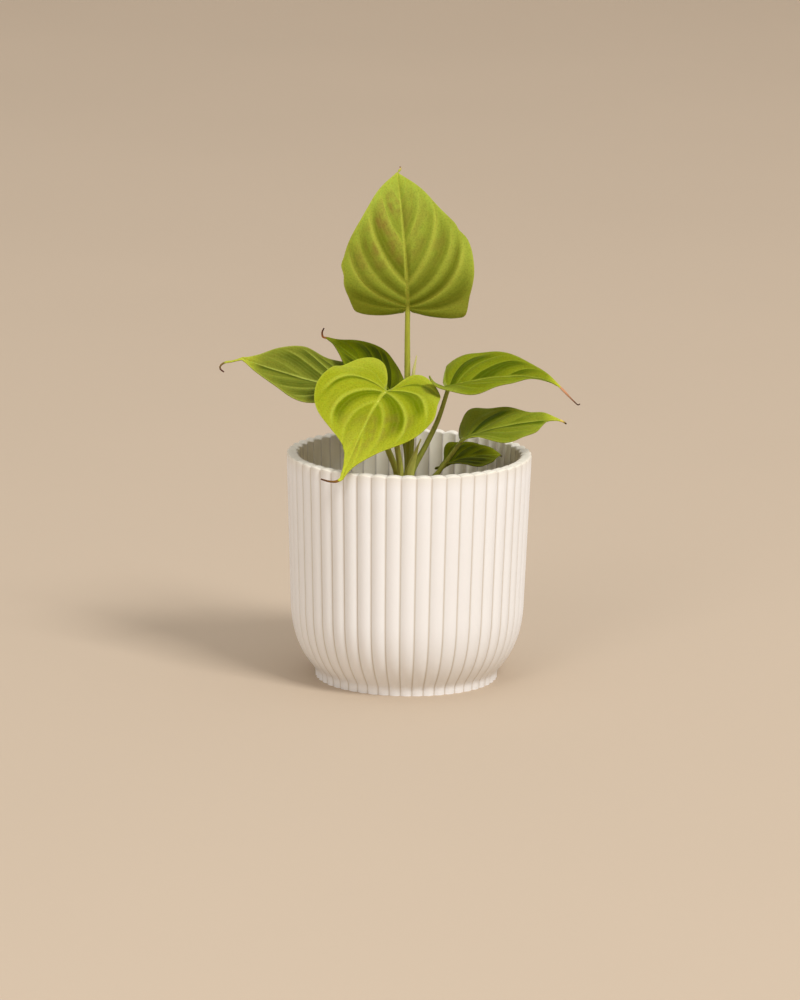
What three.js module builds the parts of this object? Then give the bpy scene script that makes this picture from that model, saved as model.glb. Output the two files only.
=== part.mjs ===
// A young Philodendron verrucosum in a fluted cover pot.
// Millimetres, +Z up, seen from -Y. The origin is the middle of the pot's flat base.
import * as THREE from "three";
import { mergeVertices } from "three/addons/utils/BufferGeometryUtils.js";

// Pot
const potHeight = 131.3;
const rimRadius = 70.3;
const footRadius = 52.4;
const bowlStart = [52.9, 5.2];
const bowlPull = [59.5, 13];
const bowlShoulder = [67, 22];
const bowlEnd = [67.3, 47];
const ribCount = 50;
const ribDepth = 1.45;
const ribFacets = 3;
const wall = 6;
const lipRound = 1.3;
const floorHeight = 6;
const floorRadius = 47;
const outerRings = [1, 0.8, 0.62, 0.45, 0.3, 0.15];
const innerRings = [1, 0.7, 0.45, 0.2];

// Soil and stem
const soilLevel = 98;
const soilRelief = 0.9;
const soilSectors = 44;
const stemRadius = 4;
const stemHeight = 9;
const stemDepth = 20;

// Leaves
const bladeThickness = 0.8;
const bladeSteps = 4;
const stalkSides = 8;
const stalkSteps = 14;
const gap = 0.3;

// The margin of a half blade starts in the notch and runs round the basal lobe.
// Each pair is a share of the lobe's length, then a share of the half width at the base.
const lobeOutline = [
  [-0.04, 0.06],
  [-0.5, 0.1],
  [-0.93, 0.25],
  [-1, 0.48],
  [-0.7, 0.74],
  [-0.15, 0.93],
];
// Where along the blade its half widths are measured, as shares of its length.
const widthStations = [0.12, 0.32, 0.52, 0.72, 0.88];
const tipHalfWidth = 1.1;
const tailHalfWidths = [0.6, 0.35];
const marginSplits = 2;

// Every leaf: its joint on the stalk, the arch of its midrib, its dried drip tip, the face that looks
// up, how far it twists, and for each side the half widths, the lobe, the fold along the midrib and the
// place of its waves. The stalk grows from the stem's side through its waypoints to the joint.
const leaves = [
  {
    name: "top",
    colour: 0x9aa83c,
    joint: [-2, 5.5, 214],
    shoulder: [-3, -19.5, 249.5],
    tip: [-9, 11, 290.5],
    tail: [[-7.8, 12, 292.2], [-7, 12.5, 293.3], [-7.5, 13, 294.3]],
    face: [-0.12, -1, 0.17],
    twist: 15,
    droop: 5.5,
    wave: 1.7,
    left: { widths: [34, 37.5, 33.5, 22, 12], lobe: 13, curl: 103, fold: 15, phase: -0.9 },
    right: { widths: [36, 40, 35.5, 22.5, 12], lobe: 12, curl: 107, fold: 8, phase: -1.8 },
    foot: { angle: 85, height: 6.5, radius: 2.4 },
    stalk: [[0.9, 8, 116.5], [-0.6, 8, 136.5], [-1.9, 6.5, 192]],
    topRadius: 1.4,
  },
  {
    name: "front",
    colour: 0xa9b92c,
    joint: [-13.6, -18, 170],
    shoulder: [-20.5, -42.5, 169.5],
    tip: [-38, -67.5, 129],
    tail: [[-40.8, -69, 127.8], [-45, -69.5, 128], [-49.5, -69, 129.2]],
    face: [-0.07, -0.56, 1.04],
    twist: 8,
    droop: 3,
    wave: 1.1,
    left: { widths: [33.6, 36.3, 32.3, 15.3, 4.5], lobe: 21, curl: -38, fold: 4, phase: 2 },
    right: { widths: [34.4, 36.6, 29, 7.6, 2], lobe: 26, curl: -38, fold: 23, phase: -0.1 },
    foot: { angle: 232, height: 2.8, radius: 2 },
    stalk: [[-4.6, -6.5, 119], [-6.9, -9, 135.5], [-9.8, -14, 155]],
    topRadius: 1.3,
  },
  {
    name: "right_upper",
    colour: 0x7c8f2c,
    joint: [22, -8, 170.8],
    shoulder: [69, -10, 184],
    tip: [84.5, -2.5, 171.3],
    tail: [[89, -2.5, 166.7], [93, -2.5, 163], [96, -2.5, 160.4], [97.2, -3, 161.1]],
    face: [-0.23, -0.05, 1],
    twist: 31,
    droop: 7,
    wave: 1.7,
    left: { widths: [28.5, 30, 20, 10, 4.5], lobe: 3, curl: -22, fold: 27, phase: 0.1 },
    right: { widths: [25.5, 25.5, 16, 4, 3], lobe: 17.5, curl: -95, fold: 23, phase: 2.4 },
    foot: { angle: -78, height: 6.5, radius: 2 },
    stalk: [[1.4, -8, 119.5], [9.2, -8.5, 136.5], [15.9, -8.5, 151.2]],
    topRadius: 1.2,
  },
  {
    name: "left",
    colour: 0x6f852a,
    joint: [-30.5, -2.5, 166],
    shoulder: [-60, -5.5, 173],
    tip: [-96, -4, 185],
    tail: [[-101.8, -4, 183.4], [-105.8, -4, 182.7], [-108.5, -4, 180.6], [-108.3, -4.5, 178.7],
      [-106.3, -5, 177.4]],
    face: [0, -0.29, 1.13],
    twist: -35,
    droop: 2.6,
    wave: 1.5,
    left: { widths: [28, 27, 22.5, 13, 6], lobe: 13.5, curl: 0, fold: 16, phase: -1.2 },
    right: { widths: [27, 25.5, 23, 16, 6], lobe: 15, curl: 0, fold: 9, phase: 0.9 },
    foot: { angle: 182, height: 6.5, radius: 2.1 },
    stalk: [[-6.9, -1, 118], [-11.9, -2, 132], [-19.8, -2.5, 150]],
    topRadius: 1.3,
  },
  {
    name: "back",
    colour: 0x5d7022,
    joint: [-11.5, 13.5, 163.5],
    shoulder: [-28.5, 13.5, 182.5],
    tip: [-48, 27, 191.8],
    tail: [[-50.5, 27.5, 192.4], [-51.1, 28, 195], [-50, 28, 197.6]],
    face: [0, -0.2, 1.08],
    twist: -4,
    droop: 2.7,
    wave: 0.6,
    left: { widths: [22.5, 22, 18.5, 8.5, 2.5], lobe: 10, curl: 0, fold: 16, phase: -0.1 },
    right: { widths: [24.5, 25.5, 20.5, 13.5, 4.5], lobe: 10, curl: 0, fold: 11, phase: 1.1 },
    foot: { angle: 130, height: 2.8, radius: 2 },
    stalk: [[-1.2, 13.2, 115], [-1.8, 14, 130], [-6.1, 14, 147]],
    topRadius: 1.2,
  },
  {
    name: "right_lower",
    colour: 0x788a2c,
    joint: [31, -5.5, 140.7],
    shoulder: [52.5, -6.5, 150.2],
    tip: [84, 0.5, 151.4],
    tail: [[87.2, 0, 150.4], [89.8, -0.5, 148.9]],
    face: [0.14, -0.17, 1.06],
    twist: 35,
    droop: -1.6,
    wave: 2.7,
    left: { widths: [23.5, 22.5, 15, 7.5, 5.5], lobe: 1.2, curl: 36, fold: 0, phase: 0 },
    right: { widths: [24.5, 22.5, 21.5, 12.5, 2], lobe: 1, curl: 32, fold: 14, phase: -0.1 },
    foot: { angle: -30, height: 2.8, radius: 1.8 },
    stalk: [[16, -6, 119.6], [22.6, -6.5, 129.2], [28.1, -6, 136.9]],
    topRadius: 1,
  },
  {
    name: "small",
    colour: 0x3f4d14,
    joint: [19.3, 16.5, 119.1],
    shoulder: [32.5, 15, 128.1],
    tip: [52, 27.5, 124.8],
    tail: [[53.6, 27.5, 123.5]],
    face: [0.29, 0, 0.94],
    twist: 30,
    droop: -0.3,
    wave: 1.3,
    left: { widths: [17, 17, 12.5, 7.5, 5], lobe: 2, curl: 0, fold: 9, phase: -0.9 },
    right: { widths: [18, 17, 15.5, 10.5, 4.5], lobe: 1.5, curl: 0, fold: 13, phase: -1.1 },
    foot: { angle: 32, height: 2.8, radius: 1.6 },
    stalk: [[12.5, 12, 112.5]],
    topRadius: 0.9,
  },
];

// The rolled tip of the next leaf stands on the stem, beside the top leaf's stalk.
const spearPath = [[0.2, 0.6, 112], [1.5, 2.5, 134], [2, 2.5, 155], [1.8, 2.5, 175.5], [3.5, 2.5, 187]];
const spearRadii = [1.5, 0.35];

// The loose sheath round the foot of the upper right leaf's stalk, open on the side of that leaf:
// where it starts and ends along the stalk, its radii and how far it reaches round to each side.
const sheathShape = {
  start: 7,
  end: 38.5,
  radii: [3, 4.1],
  halfAngles: [140, 7],
  thickness: 0.7,
  steps: 8,
  columns: 8,
};

const colours = {
  pot: 0xe9e2d6,
  soil: 0x3a2a1e,
  stem: 0x7d8a35,
  stalk: 0x87913a,
  spear: 0xb4bb6a,
  sheath: 0x98a24c,
};

// Geometry helpers

const vector = ([x, y, z]) => new THREE.Vector3(x, y, z);
const blend = (a, b, share) => a + (b - a) * share;
const radians = THREE.MathUtils.degToRad;

/** Position-only copy with shared corners and no flat triangles, its faces turned outwards. */
function closedBody(geometry) {
  const bare = geometry.clone();
  bare.deleteAttribute("normal");
  bare.deleteAttribute("uv");
  const body = mergeVertices(bare, 1e-4);
  const corners = body.index.array;
  const kept = [];
  for (let i = 0; i < corners.length; i += 3) {
    const [a, b, c] = [corners[i], corners[i + 1], corners[i + 2]];
    if (a !== b && b !== c && c !== a) {
      kept.push(a, b, c);
    }
  }
  if (signedVolume(body.attributes.position, kept) < 0) {
    kept.reverse();
  }
  body.setIndex(kept);
  body.computeVertexNormals();
  return body;
}

function signedVolume(position, corners) {
  const [a, b, c] = [new THREE.Vector3(), new THREE.Vector3(), new THREE.Vector3()];
  let volume = 0;
  for (let i = 0; i < corners.length; i += 3) {
    a.fromBufferAttribute(position, corners[i]);
    b.fromBufferAttribute(position, corners[i + 1]);
    c.fromBufferAttribute(position, corners[i + 2]);
    volume += a.dot(b.cross(c)) / 6;
  }
  return volume;
}

/** Moves every vertex of a geometry by a rule that changes its position in place. */
function reshape(geometry, rule) {
  const position = geometry.attributes.position;
  const point = new THREE.Vector3();
  for (let i = 0; i < position.count; i += 1) {
    point.fromBufferAttribute(position, i);
    rule(point);
    position.setXYZ(i, point.x, point.y, point.z);
  }
  return geometry;
}

/** Body of revolution about +Z from [radius, height] pairs, with its first sector at the front. */
function turned(profile, sectors) {
  const points = profile.map(([radius, height]) => new THREE.Vector2(radius, height));
  return new THREE.LatheGeometry(points, sectors).rotateX(Math.PI / 2);
}

/** Round rod along a curve that tapers from one radius to the other; endShare rounds its far end. */
function taperedRod(curve, startRadius, endRadius, sides, steps, endShare = 1) {
  const rod = new THREE.CylinderGeometry(1, 1, 1, sides, steps);
  const frames = curve.computeFrenetFrames(steps, false);
  return reshape(rod, (point) => {
    const step = Math.round((point.y + 0.5) * steps);
    const share = step / steps;
    const taper = blend(startRadius, endRadius, share);
    const radius = share === 1 ? taper * endShare : taper;
    const centre = curve.getPointAt(share);
    centre.addScaledVector(frames.normals[step], point.x * radius);
    centre.addScaledVector(frames.binormals[step], point.z * radius);
    point.copy(centre);
  });
}

/** Thin solid from the points of a sheet and its triangles: both faces are split alike. */
function thinSolid(points, corners, thickness) {
  const sheet = new THREE.BufferGeometry();
  sheet.setAttribute("position", new THREE.Float32BufferAttribute(points.flatMap((p) => p.toArray()), 3));
  sheet.setIndex(corners);
  sheet.computeVertexNormals();
  const normal = sheet.attributes.normal;
  const count = points.length;
  const upper = [];
  const lower = [];
  points.forEach((point, i) => {
    const lift = new THREE.Vector3().fromBufferAttribute(normal, i).multiplyScalar(thickness / 2);
    upper.push(...point.clone().add(lift).toArray());
    lower.push(...point.clone().sub(lift).toArray());
  });
  const faces = [];
  const edges = new Set();
  for (let i = 0; i < corners.length; i += 3) {
    const triangle = [corners[i], corners[i + 1], corners[i + 2]];
    faces.push(...triangle);
    faces.push(triangle[2] + count, triangle[1] + count, triangle[0] + count);
    triangle.forEach((from, k) => edges.add(`${from},${triangle[(k + 1) % 3]}`));
  }
  for (const edge of edges) {
    const [from, to] = edge.split(",").map(Number);
    if (!edges.has(`${to},${from}`)) {
      faces.push(to, from, from + count, to, from + count, to + count);
    }
  }
  const solid = new THREE.BufferGeometry();
  solid.setAttribute("position", new THREE.Float32BufferAttribute([...upper, ...lower], 3));
  solid.setIndex(faces);
  return solid;
}

function mesh(name, geometry, colour, roughness) {
  const material = new THREE.MeshStandardMaterial({ color: colour, roughness, metalness: 0 });
  const piece = new THREE.Mesh(closedBody(geometry), material);
  piece.name = name;
  return piece;
}

// Pot

/** Points [radius, height] down the pot's side, a distance in from the rib crests. */
function potSide(inset, topHeight, rings) {
  const corners = [bowlStart, bowlPull, bowlShoulder, bowlEnd].map(([r, z]) => new THREE.Vector2(r, z));
  const bowl = new THREE.CubicBezierCurve(...corners);
  const down = (potHeight - topHeight) / (potHeight - bowlEnd[1]);
  const points = [[blend(rimRadius, bowlEnd[0], down) - inset, topHeight]];
  for (const share of rings) {
    const point = bowl.getPoint(share);
    const tangent = bowl.getTangent(share);
    points.push([point.x - tangent.y * inset, point.y + tangent.x * inset]);
  }
  return points;
}

/** Pushes a point of the pot's wall into the valleys between the ribs. */
function flute(point) {
  const radius = Math.hypot(point.x, point.y);
  const turn = Math.atan2(point.x, -point.y) / (2 * Math.PI);
  const acrossRib = 2 * THREE.MathUtils.euclideanModulo(turn * ribCount + 0.5, 1) - 1;
  const share = 1 - (ribDepth / rimRadius) * acrossRib ** 2;
  if (radius > 0) {
    point.x *= share;
    point.y *= share;
  }
}

function pot() {
  const outside = potSide(0, potHeight - lipRound, outerRings).reverse();
  const inside = potSide(wall, potHeight - lipRound, innerRings);
  const profile = [
    [0, 0],
    [footRadius, 0],
    bowlStart,
    ...outside,
    [rimRadius - lipRound, potHeight],
    [rimRadius - wall + lipRound, potHeight],
    ...inside,
    [floorRadius, floorHeight],
    [0, floorHeight],
  ];
  const round = turned(profile, ribCount * ribFacets).rotateZ(Math.PI / ribCount);
  return mesh("pot", reshape(round, flute), colours.pot, 0.6);
}

// Soil and stem

/** Low clods on the soil's surface, gone at the pot's wall and round the stem. */
function soilHeight(x, y) {
  const radius = Math.hypot(x, y);
  const fromStem = Math.min(1, Math.max(0, (radius - stemRadius) / 10));
  const fromWall = Math.min(1, (rimRadius - radius) / 12);
  const clods = Math.sin(0.31 * x + 1.3) * Math.cos(0.27 * y - 0.4) + 0.6 * Math.sin(0.62 * x - 0.5 * y);
  return soilRelief * fromStem * fromWall * clods;
}

function soil() {
  const inset = wall + ribDepth + gap;
  const side = potSide(inset, soilLevel, innerRings);
  const hole = stemRadius + gap;
  const profile = [
    [0, soilLevel - stemDepth - gap],
    [hole, soilLevel - stemDepth - gap],
    [hole, soilLevel],
    [12, soilLevel],
    [24, soilLevel],
    [36, soilLevel],
    [49, soilLevel],
    ...side,
    [floorRadius - gap - ribDepth, floorHeight + gap],
    [0, floorHeight + gap],
  ];
  const body = reshape(turned(profile, soilSectors), (point) => {
    if (point.z > soilLevel - 0.01) {
      point.z += soilHeight(point.x, point.y);
    }
  });
  return mesh("soil", body, colours.soil, 1);
}

function stem() {
  const foot = soilLevel - stemDepth;
  const profile = [
    [0, foot],
    [stemRadius * 0.8, foot],
    [stemRadius, foot + 3],
    [stemRadius, soilLevel],
    [stemRadius * 0.96, soilLevel + stemHeight * 0.4],
    [stemRadius * 0.92, soilLevel + stemHeight * 0.8],
    [stemRadius * 0.5, soilLevel + stemHeight],
    [0, soilLevel + stemHeight],
  ];
  return mesh("stem", turned(profile, 14), colours.stem, 0.6);
}

// Leaf blades

/** Points and directions down the middle of a leaf: its green midrib, then its dried tail. */
function midribFrames(leaf) {
  const rib = new THREE.QuadraticBezierCurve3(vector(leaf.joint), vector(leaf.shoulder), vector(leaf.tip));
  const tail = new THREE.CatmullRomCurve3([leaf.tip, ...leaf.tail].map(vector), false, "catmullrom");
  const face = vector(leaf.face);
  const length = rib.getLength();
  const frames = [];
  const ribSteps = 40;
  for (let i = 0; i <= ribSteps; i += 1) {
    const share = i / ribSteps;
    const along = rib.getTangentAt(share);
    const up = face.clone().addScaledVector(along, -face.dot(along)).normalize();
    up.applyAxisAngle(along, radians(leaf.twist * share));
    frames.push({ at: length * share, point: rib.getPointAt(share), along, up });
  }
  const tailLength = tail.getLength();
  const tailSteps = 20;
  for (let i = 1; i <= tailSteps; i += 1) {
    const share = i / tailSteps;
    const along = tail.getTangentAt(share);
    const before = frames[frames.length - 1].up;
    const up = before.clone().addScaledVector(along, -before.dot(along)).normalize();
    frames.push({ at: length + tailLength * share, point: tail.getPointAt(share), along, up });
  }
  return { frames, length, whole: length + tailLength };
}

/** The frame at a distance along the midrib; before the joint it stays the joint's own. */
function frameAt(frames, distance) {
  let i = 1;
  while (i < frames.length - 1 && frames[i].at < distance) {
    i += 1;
  }
  const [a, b] = [frames[i - 1], frames[i]];
  const share = THREE.MathUtils.clamp((distance - a.at) / (b.at - a.at), 0, 1);
  const along = a.along.clone().lerp(b.along, share).normalize();
  const up = a.up.clone().lerp(b.up, share);
  up.addScaledVector(along, -up.dot(along)).normalize();
  return { point: a.point.clone().lerp(b.point, share), along, up };
}

/** The place in space of a point of the flat blade: u along the midrib, v across one side. */
function bladePoint(leaf, rib, side, hand, u, v) {
  const frame = frameAt(rib.frames, Math.max(u, 0));
  const across = new THREE.Vector3().crossVectors(frame.along, frame.up);
  const back = Math.max(-u, 0);
  const bend = radians(side.curl) / Math.max(Math.abs(side.lobe), 3);
  const turn = bend * back;
  const reach = Math.abs(bend) < 1e-6 ? back : Math.sin(turn) / bend;
  const fall = Math.abs(bend) < 1e-6 ? 0 : (1 - Math.cos(turn)) / bend;
  const up = frame.up.clone().multiplyScalar(Math.cos(turn)).addScaledVector(frame.along, -Math.sin(turn));
  const outwards = v / Math.max(...side.widths);
  const wave = leaf.wave * Math.sin((4 * Math.PI * u) / rib.length + side.phase);
  const height = v * Math.sin(radians(side.fold)) + (wave - leaf.droop) * outwards ** 2;
  return frame.point
    .addScaledVector(frame.along, -reach)
    .addScaledVector(frame.up, -fall)
    .addScaledVector(across, hand * v * Math.cos(radians(side.fold)))
    .addScaledVector(up, height);
}

/** The margin of one side as a flat curve from the notch round the lobe to the end of the tail. */
function marginCurve(side, rib) {
  const base = side.widths[0];
  const points = lobeOutline.map(([u, v]) => new THREE.Vector2(u * side.lobe, v * base));
  widthStations.forEach((share, i) => points.push(new THREE.Vector2(share * rib.length, side.widths[i])));
  points.push(new THREE.Vector2(rib.length, tipHalfWidth));
  points.push(new THREE.Vector2((rib.length + rib.whole) / 2, tailHalfWidths[0]));
  points.push(new THREE.Vector2(rib.whole, tailHalfWidths[1]));
  return new THREE.SplineCurve(points);
}

/** Where the line to a margin point leaves the midrib: close to the joint, ever further towards the tip. */
function rootOf(u, rib) {
  return u > rib.length ? u : rib.length * Math.max(u / rib.length, 0) ** 2;
}

function blade(leaf) {
  const rib = midribFrames(leaf);
  const sides = [leaf.right, leaf.left];
  const margins = sides.map((side) => {
    const curve = marginCurve(side, rib);
    return curve.getPoints((curve.points.length - 1) * marginSplits);
  });
  const points = [];
  const corners = [];
  sides.forEach((side, half) => {
    const hand = half === 0 ? 1 : -1;
    const first = points.length;
    margins[half].forEach(({ x: u, y: v }, i) => {
      const root = rootOf((margins[0][i].x + margins[1][i].x) / 2, rib);
      const line = [[root, 0], [blend(root, u, 0.35), 0.6 * v], [u, v]];
      const vein = new THREE.QuadraticBezierCurve(...line.map(([x, y]) => new THREE.Vector2(x, y)));
      vein.getPoints(bladeSteps).forEach((p) => points.push(bladePoint(leaf, rib, side, hand, p.x, p.y)));
    });
    const row = bladeSteps + 1;
    for (let i = 0; i < margins[half].length - 1; i += 1) {
      for (let j = 0; j < bladeSteps; j += 1) {
        const a = first + i * row + j;
        const quad = [a, a + 1, a + row + 1, a, a + row + 1, a + row];
        corners.push(...(hand > 0 ? quad : quad.reverse()));
      }
    }
  });
  const sheet = new THREE.BufferGeometry();
  sheet.setAttribute("position", new THREE.Float32BufferAttribute(points.flatMap((p) => p.toArray()), 3));
  sheet.setIndex(corners);
  return mesh(`blade_${leaf.name}`, thinSolid(...openSheet(sheet), bladeThickness), leaf.colour, 0.55);
}

/** The points and triangles of a sheet whose shared corners are one, with no flat triangles. */
function openSheet(sheet) {
  const merged = mergeVertices(sheet, 1e-3);
  const position = merged.attributes.position;
  const points = [];
  for (let i = 0; i < position.count; i += 1) {
    points.push(new THREE.Vector3().fromBufferAttribute(position, i));
  }
  const corners = [];
  for (let i = 0; i < merged.index.count; i += 3) {
    const [a, b, c] = [0, 1, 2].map((k) => merged.index.getX(i + k));
    if (a !== b && b !== c && c !== a) {
      corners.push(a, b, c);
    }
  }
  return [points, corners];
}

// Stalks, sheath and spear

/** The line of a leaf's stalk, from the side of the stem to just short of its blade. */
function stalkCurve(leaf) {
  const { angle, height } = leaf.foot;
  const outwards = new THREE.Vector3(Math.cos(radians(angle)), Math.sin(radians(angle)), 0);
  const onStem = (reach, rise) =>
    outwards.clone().multiplyScalar(stemRadius + gap + reach).setZ(soilLevel + height + rise);
  const joint = vector(leaf.joint);
  const last = vector(leaf.stalk[leaf.stalk.length - 1]);
  const end = joint.clone().add(last.sub(joint).setLength(bladeThickness + gap));
  const foot = [onStem(0, 0), onStem(2.2, 0.6), onStem(3.8, 4)];
  return new THREE.CatmullRomCurve3([...foot, ...leaf.stalk.map(vector), end]);
}

function stalk(leaf) {
  const rod = taperedRod(stalkCurve(leaf), leaf.foot.radius, leaf.topRadius, stalkSides, stalkSteps, 0.5);
  return mesh(`petiole_${leaf.name}`, rod, colours.stalk, 0.6);
}

/** Thin sheath that stands off a stalk's left side and narrows to a point. */
function sheath(leaf) {
  const { start, end, radii, halfAngles, thickness, steps, columns } = sheathShape;
  const curve = stalkCurve(leaf);
  const length = curve.getLength();
  const front = new THREE.Vector3(0, -1, 0);
  const points = [];
  const corners = [];
  for (let i = 0; i <= steps; i += 1) {
    const share = i / steps;
    const place = blend(start, end, share) / length;
    const along = curve.getTangentAt(place);
    const left = new THREE.Vector3().crossVectors(front, along).normalize();
    const ahead = new THREE.Vector3().crossVectors(along, left);
    const radius = blend(...radii, Math.sin((share * Math.PI) / 2));
    const halfAngle = radians(blend(...halfAngles, share ** 1.5));
    for (let j = 0; j <= columns; j += 1) {
      const angle = halfAngle * ((2 * j) / columns - 1);
      const point = curve.getPointAt(place).addScaledVector(left, radius * Math.cos(angle));
      points.push(point.addScaledVector(ahead, radius * Math.sin(angle)));
      if (i < steps && j < columns) {
        const a = i * (columns + 1) + j;
        const b = a + columns + 1;
        corners.push(a, a + 1, b + 1, a, b + 1, b);
      }
    }
  }
  return mesh("cataphyll", thinSolid(points, corners, thickness), colours.sheath, 0.6);
}

function spear() {
  const foot = new THREE.Vector3(0, 0, soilLevel + stemHeight + gap);
  const curve = new THREE.CatmullRomCurve3([foot, ...spearPath.map(vector)]);
  return mesh("new_leaf_spear", taperedRod(curve, ...spearRadii, 6, 10), colours.spear, 0.6);
}

const plant = new THREE.Group();
plant.add(pot(), soil(), stem(), spear());
for (const leaf of leaves) {
  plant.add(blade(leaf), stalk(leaf));
}
plant.add(sheath(leaves.find((leaf) => leaf.name === "right_upper")));

export default plant;
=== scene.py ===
"""Looks of a young Philodendron verrucosum in a fluted cover pot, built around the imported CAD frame.

Leaf and stalk sizes are in millimetres, as in the part's source, and turn into metres where a mesh is
made. The plant is seen from -Y, and the origin is the middle of the pot's base.
"""

import math

import bpy
import numpy as np
from bpy.props import FloatProperty, FloatVectorProperty, IntProperty, PointerProperty
from mathutils import Matrix, Vector


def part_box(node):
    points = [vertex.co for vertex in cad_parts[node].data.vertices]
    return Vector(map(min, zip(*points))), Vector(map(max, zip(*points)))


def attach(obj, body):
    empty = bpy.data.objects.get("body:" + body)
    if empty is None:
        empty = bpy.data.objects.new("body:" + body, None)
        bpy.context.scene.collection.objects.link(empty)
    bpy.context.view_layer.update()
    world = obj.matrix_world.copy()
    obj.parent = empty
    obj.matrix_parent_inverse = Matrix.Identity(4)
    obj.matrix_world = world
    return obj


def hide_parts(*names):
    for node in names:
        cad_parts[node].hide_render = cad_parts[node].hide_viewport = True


bl_info = {
    "name": "Potted philodendron verrucosum",
    "version": (1, 0, 0),
    "blender": (4, 5, 0),
    "location": "3D View > Sidebar > Philodendron",
    "description": "Models a young velvet-leaved philodendron and its fluted cover pot",
    "category": "Add Mesh",
}

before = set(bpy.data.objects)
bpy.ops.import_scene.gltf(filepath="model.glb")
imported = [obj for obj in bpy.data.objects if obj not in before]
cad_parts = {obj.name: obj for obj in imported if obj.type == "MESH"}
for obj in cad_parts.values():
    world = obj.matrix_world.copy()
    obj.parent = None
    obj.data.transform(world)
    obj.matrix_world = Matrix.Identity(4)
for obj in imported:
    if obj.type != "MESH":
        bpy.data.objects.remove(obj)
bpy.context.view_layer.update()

MM = 0.001
BODY = "root"

# Pot, in millimetres
POT_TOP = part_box("pot")[1].z / MM
BOWL_START = (52.9, 5.2)
BOWL_PULL = (59.5, 13)
BOWL_SHOULDER = (67, 22)
BOWL_END = (67.3, 47)
FOOT_RADIUS = 52.4
FOOT_ROUND = ((52.7, 4.2), (53.2, 5.3))
FLOOR_RADIUS = 47
FLOOR_HEIGHT = 6
BOWL_RINGS = 14
WALL_RINGS = 5
LIP_STEPS = 5
RIB_FACETS = 12

# Soil and stem, in millimetres
SOIL_LEVEL = 98
STEM_RADIUS = 4
STEM_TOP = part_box("stem")[1].z / MM
GAP = 0.3
STEM_SIDES = 28
STEM_RING_SPACING = 2.6
MIX_GRID = 150
MIX_OVERLAP = 0.2
MIX_THICKNESS = 4
CRUMBS = ((6, 1.6), (2.2, 0.9))
SCATTER_RADIUS = 61
BARK = dict(size=3.6, seed=11, flatness=0.32)
PERLITE = dict(size=1.5, seed=23, flatness=0.7)

# Leaves: the margin of a half blade, as in the part's source
LOBE_OUTLINE = ((-0.04, 0.06), (-0.5, 0.1), (-0.93, 0.25), (-1, 0.48), (-0.7, 0.74), (-0.15, 0.93))
WIDTH_STATIONS = (0.12, 0.32, 0.52, 0.72, 0.88)
TIP_HALF_WIDTH = 1.1
TAIL_HALF_WIDTHS = (0.6, 0.35)

LINES_PER_VEIN = 16
STEPS_ACROSS = 26
SAME_PLACE = 1e-6
RANK_STEP = 0.05
OUTWARD_STEP = 0.01
SUNK_VEIN_HALF_WIDTH = 0.45
SUNK_MIDRIB_HALF_WIDTH = 0.6
STALK_STEPS = 46
MIDRIB_STEPS = 30
ROD_BEVEL = 4
BRISTLE_RADIUS = 0.05
BRISTLES_PER_MM = 9
SHEATH_BRISTLES = 260
SHEATH_SEED = 5


def vein(end, root, pull, depth, left, right=None):
    """A side vein's line, and the dark band on its tip side.

    end is where it meets the margin and root where it leaves the midrib, as shares of the midrib's
    length. pull is where the line bends to: along the midrib in the same measure, and across as a share of
    the widest half width. depth says how deep the vein is sunk, from 0 to 1. left and right give the band
    of each side: how dark it is, and where it ends on the way to the next vein and to the margin. The band
    is partly the leaf's own dark green and partly painted shade of the quilted relief.
    """
    return dict(end=end, root=root, pull=pull, depth=depth, left=left, right=right or left)


# Side veins from the notch to the tip. The first and the last are the notch and the tip, and the second
# ends on the lobe.
TOP_VEINS = (
    vein(0, 0, (0, 0), 0, (0.1, 1.3, 1.2)),
    vein(0, 0, (-0.05, 0.1), 0.1, (0.45, 1.3, 1.2)),
    vein(0.13, 0, (0, 0.6), 0.6, (0.45, 1, 1), (0.6, 1, 1)),
    vein(0.54, 0.01, (0.23, 0.92), 1, (0.4, 1, 1), (0.9, 0.9, 1)),
    vein(0.65, 0.08, (0.38, 0.82), 0.4, (0.55, 1, 1), (0.6, 1, 1)),
    vein(0.78, 0.2, (0.53, 0.6), 1, (0.8, 0.9, 1), (0.4, 0.7, 1)),
    vein(0.9, 0.48, (0.72, 0.34), 0.4, (0.4, 1, 1), (0.5, 1, 1)),
    vein(0.96, 0.78, (0.88, 0.14), 0.2, (0.2, 1, 1)),
    vein(1, 1, (1, 0.015), 0, (0, 1, 1)),
)
FRONT_VEINS = (
    vein(0, 0, (0, 0), 0, (0, 0.6, 1)),
    vein(0, 0, (-0.15, 0.1), 0.1, (0, 0.6, 1)),
    vein(0.01, 0, (-0.42, 0.45), 0.6, (0.8, 0.4, 1), (0, 0.35, 1)),
    vein(0.42, 0, (-0.18, 0.58), 1, (1, 0.85, 0.9), (1, 0.4, 1)),
    vein(0.65, 0.03, (0.37, 0.89), 1, (1, 0.9, 0.85), (1, 0.8, 0.85)),
    vein(0.81, 0.2, (0.49, 0.5), 0.6, (0.4, 0.6, 0.5), (0.3, 0.8, 0.8)),
    vein(0.9, 0.5, (0.72, 0.15), 0.3, (0, 0.8, 0.8)),
    vein(0.96, 0.78, (0.87, 0.06), 0.1, (0, 0.8, 0.8)),
    vein(1, 1, (1, 0.015), 0, (0, 0.8, 0.8)),
)
# The same for the leaves whose veins run alike: end, root and pull
COURSES = ((0, 0, (0, 0)), (0, 0, (-0.08, 0.1)), (0.1, 0, (-0.12, 0.6)), (0.44, 0.005, (0.12, 0.8)),
           (0.58, 0.06, (0.3, 0.8)), (0.73, 0.15, (0.46, 0.6)), (0.88, 0.44, (0.68, 0.3)),
           (0.95, 0.73, (0.86, 0.12)), (1, 1, (1, 0.015)))


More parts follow.
